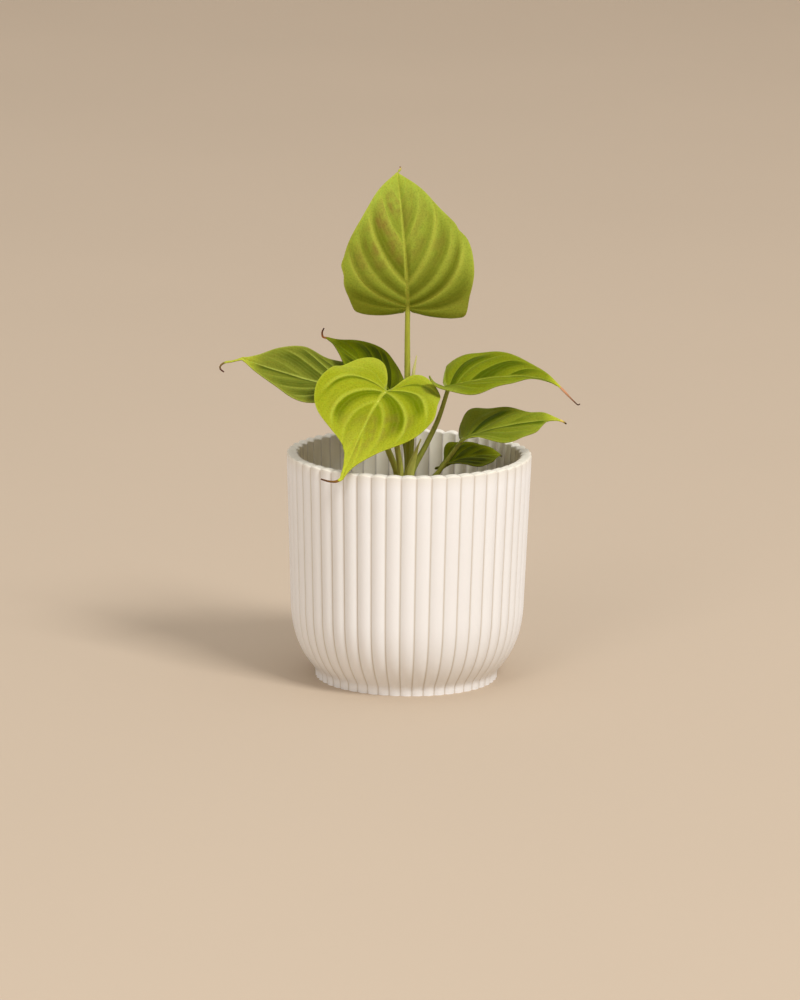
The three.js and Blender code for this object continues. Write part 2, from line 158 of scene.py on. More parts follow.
def usual_veins(depths, left, right=None, moved=None):
    """Veins on the usual courses; right and moved name the ranks that have bands or courses of their own."""
    right, moved = right or {}, moved or {}
    return tuple(vein(*moved.get(rank, course), depths[rank], left[rank], right.get(rank))
                 for rank, course in enumerate(COURSES))


VEINS = usual_veins(
    (0, 0.2, 0.5, 0.6, 0.4, 1, 0.3, 0.2, 0),
    ((0, 0.6, 1), (0, 0.8, 0.95), (0.25, 0.8, 0.95), (0.6, 0.7, 0.95), (1, 0.95, 0.95), (0.9, 0.9, 0.95),
     (0.7, 0.9, 0.95), (0.3, 0.8, 0.95), (0, 0.8, 0.95)),
)
LEFT_VEINS = usual_veins(
    (0, 0.1, 0.3, 0.4, 0.9, 0.5, 0.2, 0.1, 0),
    ((0.3, 0.8, 1), (0.3, 0.8, 1), (0.4, 1, 1), (0.7, 1, 1), (0.6, 1, 1), (0.5, 1, 1), (0.3, 1, 1),
     (0, 0.8, 1), (0, 0.8, 1)),
    {2: (0.6, 1, 1), 3: (0.6, 1, 1), 4: (0.7, 1, 1), 5: (0.6, 1, 1)},
    {5: (0.72, 0.15, (0.46, 0.6))},
)
BACK_VEINS = usual_veins(
    (0, 0.1, 0.3, 0.5, 0.3, 0.4, 0.2, 0.1, 0),
    ((0.6, 1.2, 1), (0.5, 1.2, 1), (0.4, 1, 0.9), (1, 1.2, 1), (1, 1.2, 1), (0.7, 0.9, 0.95),
     (0.2, 0.9, 0.95), (0, 0.8, 0.95), (0, 0.8, 0.95)),
)
RIGHT_VEINS = usual_veins(
    (0, 0.1, 0.1, 0.3, 0.6, 0.4, 0.3, 0.1, 0),
    ((0, 0.6, 1), (0, 0.8, 0.95), (0, 0.8, 0.95), (0.9, 1.2, 0.95), (0.2, 0.9, 0.9), (1, 0.95, 0.85),
     (0.8, 0.9, 0.9), (0, 0.8, 0.95), (0, 0.8, 0.95)),
    {0: (0.5, 1.2, 1), 1: (0.5, 1.2, 1), 2: (0.4, 1.2, 1), 3: (0.3, 1, 1), 4: (0.3, 1, 1), 5: (0.2, 1, 1),
     6: (0.1, 1, 1)},
    {3: (0.4, 0.005, (0.1, 0.8)), 4: (0.6, 0.06, (0.3, 0.8)), 5: (0.76, 0.16, (0.46, 0.62)),
     6: (0.9, 0.5, (0.7, 0.3))},
)
LOWER_VEINS = usual_veins(
    (0, 0.1, 0.1, 0.2, 0.1, 0.6, 0.2, 0.1, 0),
    ((0, 0.6, 1), (0, 0.8, 0.95), (0, 0.8, 0.95), (0.1, 0.8, 0.95), (1, 1, 0.9), (0.1, 0.9, 0.85),
     (0.3, 0.9, 0.95), (0, 0.8, 0.95), (0, 0.8, 0.95)),
    {0: (0.2, 1, 1), 1: (0.2, 1, 1), 2: (0.2, 1, 1), 3: (0.2, 1, 1), 4: (0.3, 1, 1), 5: (0.2, 1, 1),
     6: (0.1, 1, 1)},
    {5: (0.78, 0.12, (0.48, 0.55))},
)


def linear(red, green, blue):
    """Linear colour of an sRGB colour given from 0 to 255."""
    shares = (channel / 255 for channel in (red, green, blue))
    return tuple(s / 12.92 if s <= 0.04045 else ((s + 0.055) / 1.055) ** 2.4 for s in shares)


def leaf(name, joint, shoulder, tip, tail, face, twist, droop, wave, left, right, foot, stalk, top_radius,
         look):
    """One leaf's measures and colours; left and right give half widths, lobe, curl, fold and phase."""
    side = ("widths", "lobe", "curl", "fold", "phase")
    return dict(name=name, joint=joint, shoulder=shoulder, tip=tip, tail=tail, face=face, twist=twist,
                droop=droop, wave=wave, left=dict(zip(side, left)), right=dict(zip(side, right)),
                foot=dict(zip(("angle", "height", "radius"), foot)), stalk=stalk, top_radius=top_radius,
                look=look)


def look(blade, band, light, line=(0.7, 0.8), gutter=(0, 0), flush=0.0, tip=(0.84, 0.8),
         husk=(0.0, (176, 120, 84), (66, 44, 34)), veins=VEINS, bumps=(), green=(166, 170, 62)):
    """Colours of a blade, its bands and its veins, from 0 to 255 in sRGB, and how its pattern runs.

    line is the strength of the light veins and their half width in millimetres. band is the colour of
    the dark bands, partly the leaf's own dark green and partly painted shade of the quilted relief.
    gutter is painted shade along the midrib, to the left and to the right, where the folded blade
    turns away from the light. tip is where the blade starts to turn yellow green towards its end, and how
    much. husk is the share of the tail that is still green, and the tail's two colours. bumps are where the
    margin bulges: the side, the place along the midrib, the height in millimetres and the half width. green
    is the stalk's colour.
    """
    share, first, last = husk
    return dict(blade=linear(*blade), band=linear(*band), light=linear(*light), line=line, gutter=gutter,
                flush=flush, tip=tip, husk=(share, linear(*first), linear(*last)), veins=veins, bumps=bumps,
                green=linear(*green))


LEAVES = (
    leaf(
        "top", (-2, 5.5, 214), (-3, -19.5, 249.5), (-9, 11, 290.5),
        ((-7.8, 12, 292.2), (-7, 12.5, 293.3), (-7.5, 13, 294.3)),
        (-0.12, -1, 0.17), 15, 5.5, 1.7,
        ((34, 37.5, 33.5, 22, 12), 13, 103, 15, -0.9),
        ((36, 40, 35.5, 22.5, 12), 12, 107, 8, -1.8),
        (85, 6.5, 2.4), ((0.9, 8, 116.5), (-0.6, 8, 136.5), (-1.9, 6.5, 192)), 1.4,
        look((150, 164, 56), (110, 121, 28), (172, 179, 68), line=(0.8, 2.8), gutter=(0, 0.7),
             flush=0.8, tip=(0.84, 0.1), veins=TOP_VEINS, green=(170, 174, 60),
             husk=(0.55, (190, 172, 110), (104, 58, 40)),
             bumps=(("right", 0.56, -1.4, 0.035), ("right", 0.33, -0.9, 0.12), ("right", 0.72, -0.6, 0.1),
                    ("left", 0.31, -0.9, 0.04), ("left", 0.39, 0.9, 0.035))),
    ),
    leaf(
        "front", (-13.6, -18, 170), (-20.5, -42.5, 169.5), (-38, -67.5, 129),
        ((-40.8, -69, 127.8), (-45, -69.5, 128), (-49.5, -69, 129.2)),
        (-0.07, -0.56, 1.04), 8, 3, 1.1,
        ((33.6, 36.3, 32.3, 15.3, 4.5), 21, -38, 4, 2),
        ((34.4, 36.6, 29, 7.6, 2), 26, -38, 23, -0.1),
        (232, 2.8, 2), ((-4.6, -6.5, 119), (-6.9, -9, 135.5), (-9.8, -14, 155)), 1.3,
        look((146, 154, 26), (102, 116, 0), (172, 180, 58), line=(0.75, 2.1), flush=0.6, tip=(0.4, 0.8),
             # The stalk's green is lighter than the other stalks': painted light on a stalk that the leaves
             # above shade.
             veins=FRONT_VEINS, husk=(0.1, (120, 84, 40), (84, 54, 34)), green=(206, 208, 98)),
    ),
    leaf(
        "right_upper", (22, -8, 170.8), (69, -10, 184), (84.5, -2.5, 171.3),
        ((89, -2.5, 166.7), (93, -2.5, 163), (96, -2.5, 160.4), (97.2, -3, 161.1)),
        (-0.23, -0.05, 1), 31, 7, 1.7,
        ((28.5, 30, 20, 10, 4.5), 3, -22, 27, 0.1),
        ((25.5, 25.5, 16, 4, 3), 17.5, -95, 23, 2.4),
        (-78, 6.5, 2), ((1.4, -8, 119.5), (9.2, -8.5, 136.5), (15.9, -8.5, 151.2)), 1.2,
        look((118, 128, 16), (74, 88, 0), (144, 153, 56), line=(0.5, 1), gutter=(0, 0.8),
             tip=(0.84, 0.9), veins=RIGHT_VEINS, green=(170, 178, 74),
             husk=(0, (190, 140, 104), (66, 44, 34)),
             bumps=(("left", 1.07, 0.9, 0.06), ("right", 1.07, 0.9, 0.06))),
    ),
    leaf(
        "left", (-30.5, -2.5, 166), (-60, -5.5, 173), (-96, -4, 185),
        ((-101.8, -4, 183.4), (-105.8, -4, 182.7), (-108.5, -4, 180.6), (-108.3, -4.5, 178.7),
         (-106.3, -5, 177.4)),
        (0, -0.29, 1.13), -35, 2.6, 1.5,
        ((28, 27, 22.5, 13, 6), 13.5, 0, 16, -1.2),
        ((27, 25.5, 23, 16, 6), 15, 0, 9, 0.9),
        (182, 6.5, 2.1), ((-6.9, -1, 118), (-11.9, -2, 132), (-19.8, -2.5, 150)), 1.3,
        look((117, 124, 36), (68, 78, 8), (164, 171, 76), line=(0.55, 1.4), gutter=(1, 0),
             tip=(0.8, 0.6), veins=LEFT_VEINS, husk=(0.5, (120, 100, 56), (84, 48, 38)),
             # The stalk's green is lighter than the other stalks': painted light on a stalk that the leaves
             # above shade.
             green=(206, 208, 98)),
    ),
    leaf(
        "back", (-11.5, 13.5, 163.5), (-28.5, 13.5, 182.5), (-48, 27, 191.8),
        ((-50.5, 27.5, 192.4), (-51.1, 28, 195), (-50, 28, 197.6)),
        (0, -0.2, 1.08), -4, 2.7, 0.6,
        ((22.5, 22, 18.5, 8.5, 2.5), 10, 0, 16, -0.1),
        ((24.5, 25.5, 20.5, 13.5, 4.5), 10, 0, 11, 1.1),
        (130, 2.8, 2), ((-1.2, 13.2, 115), (-1.8, 14, 130), (-6.1, 14, 147)), 1.2,
        look((99, 110, 0), (56, 68, 0), (120, 131, 24), line=(0.3, 0.7), tip=(0.84, 0.4), veins=BACK_VEINS,
             husk=(0.0, (170, 110, 60), (84, 48, 38))),
    ),
    leaf(
        "right_lower", (31, -5.5, 140.7), (52.5, -6.5, 150.2), (84, 0.5, 151.4),
        ((87.2, 0, 150.4), (89.8, -0.5, 148.9)),
        (0.14, -0.17, 1.06), 35, -1.6, 2.7,
        ((23.5, 22.5, 15, 7.5, 5.5), 1.2, 36, 0, 0),
        ((24.5, 22.5, 21.5, 12.5, 2), 1, 32, 14, -0.1),
        (-30, 2.8, 1.8), ((16, -6, 119.6), (22.6, -6.5, 129.2), (28.1, -6, 136.9)), 1,
        look((128, 138, 34), (74, 92, 0), (146, 156, 54), line=(0.5, 1), gutter=(0, 1),
             veins=LOWER_VEINS, green=(178, 182, 76), husk=(0.3, (210, 184, 90), (58, 38, 30))),
    ),
    leaf(
        "small", (19.3, 16.5, 119.1), (32.5, 15, 128.1), (52, 27.5, 124.8), ((53.6, 27.5, 123.5),),
        (0.29, 0, 0.94), 30, -0.3, 1.3,
        ((17, 17, 12.5, 7.5, 5), 2, 0, 9, -0.9),
        ((18, 17, 15.5, 10.5, 4.5), 1.5, 0, 13, -1.1),
        (32, 2.8, 1.6), ((12.5, 12, 112.5),), 0.9,
        look((122, 132, 6), (76, 86, 0), (140, 150, 34), line=(0.5, 0.6), tip=(0.84, 0.3),
             husk=(0.3, (130, 120, 60), (80, 60, 40))),
    ),
)

SPEAR_PATH = ((0.2, 0.6, 112), (1.5, 2.5, 134), (2, 2.5, 155), (1.8, 2.5, 175.5), (3.5, 2.5, 187))
SPEAR_RADII = (1.5, 1.05)
SPEAR_TURNS = 1.4
SHEATH_SPAN = (7, 38.5)
SHEATH_RADII = (3, 4.1)
SHEATH_HALF_ANGLES = (140, 7)

# Stage: the camera's aim in millimetres, the lights' places, sizes and powers in metres and watts
CAMERA_AIM = (-4.92, 0, 102.97)
LIGHT_AIM = (0, 0, 0.15)
LIGHT_COLOUR = (1, 0.99, 0.975)
LIGHTS = (("key", (2.55, -2.92, 4.75), (1.7, 1.7), 240), ("fill", (-2.4, -5.2, 4.2), (2, 2), 72))
WORLD_STRENGTH = 0.85
FLOOR_SIDES = 64

LEAF_SLOTS = {
    "top": "leaf_light", "front": "leaf_light", "right_upper": "leaf_mid", "left": "leaf_mid",
    "back": "leaf_dark", "right_lower": "leaf_mid", "small": "leaf_dark",
}


# Settings

def tint(name, description, colour):
    return FloatVectorProperty(name=name, description=description, subtype="COLOR", default=linear(*colour))


def size(name, description, metres):
    return FloatProperty(name=name, description=description, default=metres, unit="LENGTH")


class PotSettings(bpy.types.PropertyGroup):
    """Sizes and glaze of the fluted cover pot."""
    rim_radius: size("Rim radius", "From the axis to the crest of a rib at the rim", 0.0703)
    wall: size("Wall", "Thickness of the wall", 0.006)
    lip: size("Lip", "Rounding of the rim", 0.0013)
    ribs: IntProperty(name="Ribs", description="Number of upright ribs", default=50, min=3)
    rib_depth: size("Rib depth", "From crest to valley at the rim", 0.00145)
    crease: size("Crease", "How far the rim dips between two ribs", 0.0013)
    glaze: tint("Glaze", "Colour of the matt surface", (239, 240, 242))
    # valley is painted shade: a darker colour for the creases between the ribs.
    valley: tint("Valleys", "Colour between the ribs", (208, 201, 191))
    # rim is painted shade: the lip's top, which the lamps light more than the walls, is darkened.
    rim: tint("Rim", "Colour of the lip", (224, 219, 206))
    # inside is painted bounce light: a lighter, warmer tint than the glaze, for the light thrown about inside
    # the pot.
    inside: tint("Inside", "Colour of the inner wall", (250, 245, 226))


class LeafSettings(bpy.types.PropertyGroup):
    """What all the blades and stalks share."""
    thickness: size("Blade", "Thickness of a blade", 0.0005)
    quilting: size("Quilting", "Height of the blade between two side veins", 0.0006)
    vein_depth: size("Vein depth", "How deep a main vein is sunk", 0.00035)
    hair: size("Hair", "Length of the bristles on the stalks", 0.0006)
    flush: tint("Flush", "Brown cast between the veins", (126, 104, 44))
    underside: tint("Underside", "Lower face of a blade", (128, 138, 70))


class SoilSettings(bpy.types.PropertyGroup):
    """The potting mix."""
    crumb: tint("Crumb", "Colour of the peat", (62, 45, 33))
    bark: tint("Bark", "Colour of the bark chips", (120, 82, 52))
    chips: IntProperty(name="Chips", description="Number of bark chips", default=150, min=0)
    perlite: IntProperty(name="Perlite", description="Number of white perlite grains", default=70, min=0)


class StageSettings(bpy.types.PropertyGroup):
    """Floor, lights and camera."""
    backdrop: tint("Backdrop", "Colour of the floor and the wall behind", (190, 173, 153))
    distance: size("Distance", "Camera to the pot's axis", 3.2)
    elevation: FloatProperty(name="Elevation", description="How far the camera looks down",
                             default=math.radians(12.124), unit="ROTATION")
    roll: FloatProperty(name="Roll", description="Turn of the camera about its view line",
                        default=math.radians(0.766), unit="ROTATION")
    lens: FloatProperty(name="Lens", description="Focal length for a 36 mm sensor", default=200.6)


# Shader nodes

class Wire:
    """A shader socket that can be used in a Python expression."""

    def __init__(self, nodes, socket):
        self.nodes = nodes
        self.socket = socket

    def math(self, operation, *others):
        values = dict(enumerate((self, *others)))
        return self.nodes.add("ShaderNodeMath", {"operation": operation}, values)

    def __add__(self, other):
        return self.math("ADD", other)

    def __sub__(self, other):
        return self.math("SUBTRACT", other)

    def __rsub__(self, other):
        return self.nodes.add("ShaderNodeMath", {"operation": "SUBTRACT"}, {0: other, 1: self})

    def __mul__(self, other):
        return self.math("MULTIPLY", other)

    def __truediv__(self, other):
        return self.math("DIVIDE", other)

    __radd__ = __add__
    __rmul__ = __mul__


class Finish:
    """One material and its node tree."""

    def __init__(self, name):
        self.material = bpy.data.materials.new(name)
        self.material.use_nodes = True
        self.tree = self.material.node_tree
        self.tree.nodes.clear()

    def add(self, kind, settings=None, values=None, output=0):
        """A node of any type: its settings first, then the values or links of its sockets."""
        node = self.tree.nodes.new(kind)
        for name, value in (settings or {}).items():
            if name == "stops":
                self.set_stops(node.color_ramp, value)
            elif name == "ramp":
                node.color_ramp.interpolation = value
            else:
                setattr(node, name, value)
        for key, value in (values or {}).items():
            if isinstance(value, Wire):
                self.tree.links.new(value.socket, node.inputs[key])
            else:
                node.inputs[key].default_value = value
        return Wire(self, node.outputs[output])

    @staticmethod
    def set_stops(ramp, stops):
        while len(ramp.elements) < len(stops):
            ramp.elements.new(1)
        for element, (position, grey) in zip(ramp.elements, stops):
            element.position = position
            element.color = (grey, grey, grey, 1)

    def attribute(self, name):
        return self.add("ShaderNodeAttribute", {"attribute_name": name}, output="Fac")

    def noise(self, size, detail=2.0, stretch=(1, 1, 1)):
        """Noise whose blobs are about as wide as size, in metres."""
        place = self.add("ShaderNodeTexCoord", output="Object")
        vector = self.add("ShaderNodeMapping", {}, {"Vector": place, "Scale": stretch})
        values = {"Vector": vector, "Scale": 1 / size, "Detail": detail}
        return self.add("ShaderNodeTexNoise", {}, values)

    def rise(self, value, start, end):
        """0 up to start, 1 from end on, and smooth between them."""
        values = {"Value": value, "From Min": start, "From Max": end}
        return self.add("ShaderNodeMapRange", {"interpolation_type": "SMOOTHSTEP"}, values)

    def fall(self, value, start, end):
        return 1 - self.rise(value, start, end)

    def mix(self, first, second, factor):
        """The first colour, and as much of the second as the factor says."""
        colours = [c if isinstance(c, Wire) else (*c, 1) for c in (first, second)]
        values = {0: factor, 6: colours[0], 7: colours[1]}
        return self.add("ShaderNodeMix", {"data_type": "RGBA"}, values, output=2)

    def bump(self, height, distance, strength=1.0):
        values = {"Height": height, "Distance": distance, "Strength": strength}
        return self.add("ShaderNodeBump", {}, values)

    def surface(self, colour, roughness, normal=None, **constants):
        """Ends the material in one Principled shader."""
        values = {"Base Color": colour if isinstance(colour, Wire) else (*colour, 1), "Roughness": roughness}
        if normal is not None:
            values["Normal"] = normal
        values.update((name.replace("_", " "), value) for name, value in constants.items())
        shader = self.add("ShaderNodeBsdfPrincipled", {}, values)
        output = self.tree.nodes.new("ShaderNodeOutputMaterial")
        self.tree.links.new(shader.socket, output.inputs["Surface"])
        return self.material


def glaze_finish(settings):
    """Matt white pot: faint cloudiness, fine pores, painted shade between the ribs and on the lip, and
    painted bounce light on the inner wall.
    """
    finish = Finish("matt_glaze")
    cloud = finish.noise(0.03, 3)
    grain = finish.noise(0.0011, 4)
    valley = finish.attribute("valley")
    # Painted bounce light: the inner wall takes the lighter, warmer inside colour.
    colour = finish.mix(settings.glaze, settings.inside, finish.rise(finish.attribute("inner"), 0, 0.5))
    # Painted shade: the lip is darkened towards the rim colour.
    colour = finish.mix(colour, settings.rim, finish.rise(finish.attribute("rim"), 0.2, 0.8))
    # Painted shade: the creases between the ribs are darkened towards the valley colour.
    colour = finish.mix(colour, settings.valley, finish.rise(valley, 0.6, 1) * 0.9 + cloud * 0.1)
    normal = finish.bump(grain, 0.00012, 0.35)
    return finish.surface(colour, 0.5 + grain * 0.14, normal, Specular_IOR_Level=0.4)


def peat_finish(settings):
    """Dark crumbly peat with paler fibres."""
    finish = Finish("peat")
    crumbs = finish.noise(0.004, 6)
    fibres = finish.noise(0.002, 4, (1, 3.5, 1))
    dark = tuple(0.35 * c for c in settings.crumb)
    colour = finish.mix(dark, settings.crumb, finish.rise(crumbs, 0.38, 0.62))
    colour = finish.mix(colour, settings.bark, finish.rise(fibres, 0.6, 0.7) * 0.45)
    normal = finish.bump(crumbs + fibres * 0.5, 0.0016, 0.9)
    return finish.surface(colour, 0.92, normal, Specular_IOR_Level=0.2)


def bark_finish(settings):
    """Layered bark chips, from rust to grey brown."""
    finish = Finish("bark")
    shade = finish.noise(0.012, 1)
    layers = finish.noise(0.0016, 3, (1, 1, 4))
    dark = tuple(0.4 * c for c in settings.bark)
    colour = finish.mix(dark, settings.bark, finish.rise(layers + shade * 0.6, 0.55, 1.05))
    return finish.surface(colour, 0.85, finish.bump(layers, 0.0007, 0.8), Specular_IOR_Level=0.25)


def perlite_finish():
    """White, porous perlite."""
    finish = Finish("perlite")
    pores = finish.noise(0.0007, 4)
    colour = finish.mix(linear(196, 190, 178), linear(238, 236, 230), finish.rise(pores, 0.35, 0.6))
    return finish.surface(colour, 0.9, finish.bump(pores, 0.0004, 0.7))


def stalk_finish(name, green, tip=None, streak=0.5):
    """Green stalk with faint lengthwise streaks; it may turn to another colour towards its end."""
    finish = Finish(name)
    streaks = finish.noise(0.0012, 3, (1, 1, 0.12))
    blotches = finish.noise(0.009, 2)
    dark = tuple(0.62 * c for c in green)
    colour = finish.mix(green, dark, finish.rise(streaks, 0.45, 0.7) * streak)
    colour = finish.mix(colour, linear(128, 96, 52), finish.rise(blotches, 0.6, 0.8) * 0.3)
    if tip is not None:
        colour = finish.mix(colour, tip, finish.rise(finish.attribute("reach"), 0.55, 1))
    normal = finish.bump(streaks, 0.0003, 0.5)
    return finish.surface(colour, 0.55, normal, Specular_IOR_Level=0.35)


def bristle_finish():
    """Pale, slightly clear bristles."""
    finish = Finish("bristles")
    colour = finish.mix(linear(150, 150, 80), linear(178, 160, 100), finish.noise(0.01, 1))
    return finish.surface(colour, 0.5)


def blade_finish(leaf, settings):
    """Velvet upper face: light veins, a dark band on the tip side of each that is partly the leaf's own dark
    green and partly painted shade, painted shade along the midrib, painted light on the lobes, a light
    margin, a dried tail.
    """
    finish = Finish(f"velvet_{leaf['name']}")
    look = leaf["look"]
    names = ("rank", "pitch", "side", "spine", "edge", "along", "dry")
    rank, pitch, side, spine, edge, along, dry = (finish.attribute(name) for name in names)
    reach = side.math("ABSOLUTE")
    cloud = finish.noise(0.006, 3)
    velvet = finish.noise(0.0009, 3)
    depth, (dark, width, far) = vein_ramps(finish, rank, side, look["veins"])

    part = rank.math("FRACT") + (cloud - 0.5) * 0.12
    near = rank.math("PINGPONG", 0.5)
    fine = finish.fall((rank * 5 + cloud).math("PINGPONG", 0.5), 0.02, 0.35)
    # The dark band on the tip side of each vein: partly the leaf's own dark green, partly painted shade of
    # the quilted relief.
    band = finish.rise(part, 0, 0.14) * finish.fall(part, width * 0.4, width) * dark
    band = band * finish.rise(spine, 0.3, 2) * finish.fall(reach, far * 0.65, far)
    band = band * finish.fall(along, 0.6, 0.95) * (0.8 + cloud * 0.9)
    # Painted shade along one side of the midrib, where the folded blade turns away from the light.
    midrib_shade_stops = [(0.45, look["gutter"][0]), (0.55, look["gutter"][1])]
    gutter = finish.add("ShaderNodeValToRGB", {"stops": midrib_shade_stops}, {"Fac": side * 5 + 0.5})
    gutter = gutter * finish.fall(spine, 1.6, 5) * finish.fall(along, 0.8, 0.97)
    band = band.math("MAXIMUM", gutter * finish.rise(along, 0.05, 0.3)).math("MINIMUM", 1)
    colour = finish.mix(look["blade"], look["band"], band)

    brown = finish.rise(finish.noise(0.009, 3), 0.32, 0.62) * finish.rise(part, 0.15, 0.45)
    brown = brown * finish.rise(along, 0.2, 0.5) * finish.fall(along, 0.75, 0.95) * look["flush"]
    brown = brown * finish.fall(reach, 0.6, 0.9)
    colour = finish.mix(colour, settings.flush, brown * (1 - finish.rise(side, -0.2, 0.3) * 0.6))

    # Painted light: the lobes are lightened towards their margins, where they face down into shade.
    lobe = finish.fall(along, 0.01, 0.2) * finish.rise(reach, 0.35, 0.95) * 0.55
    colour = finish.mix(colour, look["light"], lobe)
    strength, half_width = look["line"]
    line = finish.fall(near * pitch, 0, half_width) * finish.fall(near, 0.1, 0.45) * depth
    line = line * finish.fall(reach, 0.75, 1) * strength
    line = line.math("MAXIMUM", finish.fall(spine, 0.4, 1.9 - along * 1.3) * 0.9)
    line = line.math("MAXIMUM", finish.fall(edge, 0.1, 1.4) * 0.5)
    line = line.math("MAXIMUM", fine * finish.rise(near, 0.05, 0.2) * 0.09)
    colour = finish.mix(colour, look["light"], line)
    start, yellow = look["tip"]
    colour = finish.mix(colour, linear(184, 192, 54), finish.rise(along, start, 1) * yellow)
    colour = finish.mix(colour, linear(50, 60, 0), finish.rise(velvet, 0.4, 0.75) * 0.26)

    fresh, first, last = look["husk"]
    husk = finish.mix(first, last, finish.rise(dry + cloud * 0.2, fresh + 0.3, 1.05))
    colour = finish.mix(colour, husk, finish.rise(dry, fresh + 0.02, fresh + 0.12))
    normal = finish.bump(velvet + cloud * 0.6 + fine * -0.15, 0.0002, 0.4)
    return finish.surface(colour, 0.5 + velvet * 0.16, normal, Specular_IOR_Level=0.03,
                           Subsurface_Weight=0.1, Subsurface_Scale=0.001)


def vein_ramps(finish, rank, side, veins):
    """How deep the nearest vein is sunk, and how dark, wide and long the band on its tip side is; the band is
    partly the leaf's own dark green and partly painted shade of the relief.
    """
    share = rank / len(veins)

    def ramp(values, interpolation):
        stops = [(k / len(veins), value) for k, value in enumerate(values)]
        return finish.add("ShaderNodeValToRGB", {"stops": stops, "ramp": interpolation}, {"Fac": share})

    depth = ramp([vein["depth"] for vein in veins], "LINEAR")
    on_right = side.math("GREATER_THAN", 0)
    bands = []
    for number in range(3):
        left, right = (ramp([vein[name][number] for vein in veins], "CONSTANT") for name in ("left", "right"))
        bands.append(left + (right - left) * on_right)
    return depth, bands


def underside_finish(leaf, settings):
    """Paler lower face, with raised veins and a faint red cast between them."""
    finish = Finish(f"underside_{leaf['name']}")
    look = leaf["look"]
    rank, pitch, spine = (finish.attribute(name) for name in ("rank", "pitch", "spine"))
    gap = rank.math("PINGPONG", 0.5) * pitch
    base = tuple(0.5 * (a + b) for a, b in zip(settings.underside, look["blade"]))
    blush = finish.rise(gap, 0.8, 3) * finish.rise(finish.noise(0.007, 3), 0.35, 0.7) * 0.45
    colour = finish.mix(base, linear(120, 92, 60), blush)
    line = finish.fall(gap, 0.2, 0.9).math("MAXIMUM", finish.fall(spine, 0.4, 1.4))
    colour = finish.mix(colour, look["light"], line * 0.8)
    fresh, _, last = look["husk"]
    colour = finish.mix(colour, last, finish.rise(finish.attribute("dry"), fresh, fresh + 0.2))
    normal = finish.bump(finish.noise(0.0011, 4), 0.0002, 0.5)
    return finish.surface(colour, 0.62, normal, Specular_IOR_Level=0.2)


def stage_finish(settings):
    """Plain pale floor."""
    finish = Finish("backdrop")
    weave = finish.noise(0.6, 2)
    darker = tuple(0.94 * c for c in settings.backdrop)
    return finish.surface(finish.mix(settings.backdrop, darker, weave), 0.9, Specular_IOR_Level=0.1)


# Mesh helpers

def select(*pieces):
    """Selects these pieces alone, the first of them active."""
    bpy.ops.object.select_all(action="DESELECT")
    for piece in pieces:
        piece.select_set(True)
    if pieces:
        bpy.context.view_layer.objects.active = pieces[0]


def coordinates(mesh):
    values = np.empty(len(mesh.vertices) * 3)
    mesh.vertices.foreach_get("co", values)
    return values.reshape(-1, 3)


def set_coordinates(mesh, points):
    mesh.vertices.foreach_set("co", np.asarray(points, float).ravel())
    mesh.update()


def smooth(piece, degrees=60):
    select(piece)
    bpy.ops.object.shade_smooth_by_angle(angle=math.radians(degrees))


def apply_modifier(piece, kind, **settings):
    select(piece)
    modifier = piece.modifiers.new(kind.title(), kind)
    for name, value in settings.items():
        setattr(modifier, name, value)
    bpy.ops.object.modifier_apply(modifier=modifier.name)


def mark(mesh, name, values):
    """Stores one number for each face corner, so that corners that are merged keep their own."""
    corners = np.empty(len(mesh.loops), int)
    mesh.loops.foreach_get("vertex_index", corners)
    attribute = mesh.attributes.new(name, "FLOAT", "CORNER")
    attribute.data.foreach_set("value", np.asarray(values, float)[corners])


def finish_piece(piece, slot, *replaced, materials=()):
    for material in materials:
        piece.data.materials.append(material)
    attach(piece, BODY)
    if replaced:
        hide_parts(*replaced)
    return piece


def grid(name, columns, rows):
    """Grid primitive, and for each of its vertices the shares of its length and its width."""
    select()
    bpy.ops.mesh.primitive_grid_add(x_subdivisions=columns, y_subdivisions=rows, size=2)
    piece = bpy.context.object
    piece.name = name
    flat = coordinates(piece.data)
    return piece, (flat[:, 0] + 1) / 2, (flat[:, 1] + 1) / 2


def ring_stack(name, outline, sides, scallop=None, closed=True):
    """Turned shape: a circle that is extruded and scaled from each [radius, height] to the next."""
    select()
    radius, height = outline[0]
    bpy.ops.mesh.primitive_circle_add(vertices=sides, radius=radius, location=(0, 0, height))
    bpy.ops.object.transform_apply(location=True, rotation=True, scale=True)
    piece = bpy.context.object
    piece.name = name
    if scallop:
        set_coordinates(piece.data, scallop(coordinates(piece.data)))
    bpy.ops.object.mode_set(mode="EDIT")
    bpy.ops.mesh.select_all(action="SELECT")
    bpy.ops.mesh.edge_face_add()
    for next_radius, next_height in outline[1:]:
        move = {"value": (0, 0, next_height - height)}
        bpy.ops.mesh.extrude_edges_move(TRANSFORM_OT_translate=move)
        scale = next_radius / radius
        bpy.ops.transform.resize(value=(scale, scale, 1), center_override=(0, 0, next_height))
        radius, height = next_radius, next_height
    if closed:
        bpy.ops.mesh.edge_face_add()
    bpy.ops.mesh.select_all(action="SELECT")
    bpy.ops.mesh.normals_make_consistent(inside=False)
    bpy.ops.object.mode_set(mode="OBJECT")
    return piece


def template():
    """Places and faces of the active object, which is then removed."""
    piece = bpy.context.object
    points, faces = coordinates(piece.data), [tuple(face.vertices) for face in piece.data.polygons]
    bpy.data.objects.remove(piece)
    return points, faces


def loose_piece(name, points, faces):
    mesh = bpy.data.meshes.new(name)
    mesh.from_pydata([tuple(point) for point in points], [], faces)
    piece = bpy.data.objects.new(name, mesh)
    bpy.context.scene.collection.objects.link(piece)
    return piece


# Curves

def blend(a, b, share):
    return a + (b - a) * share


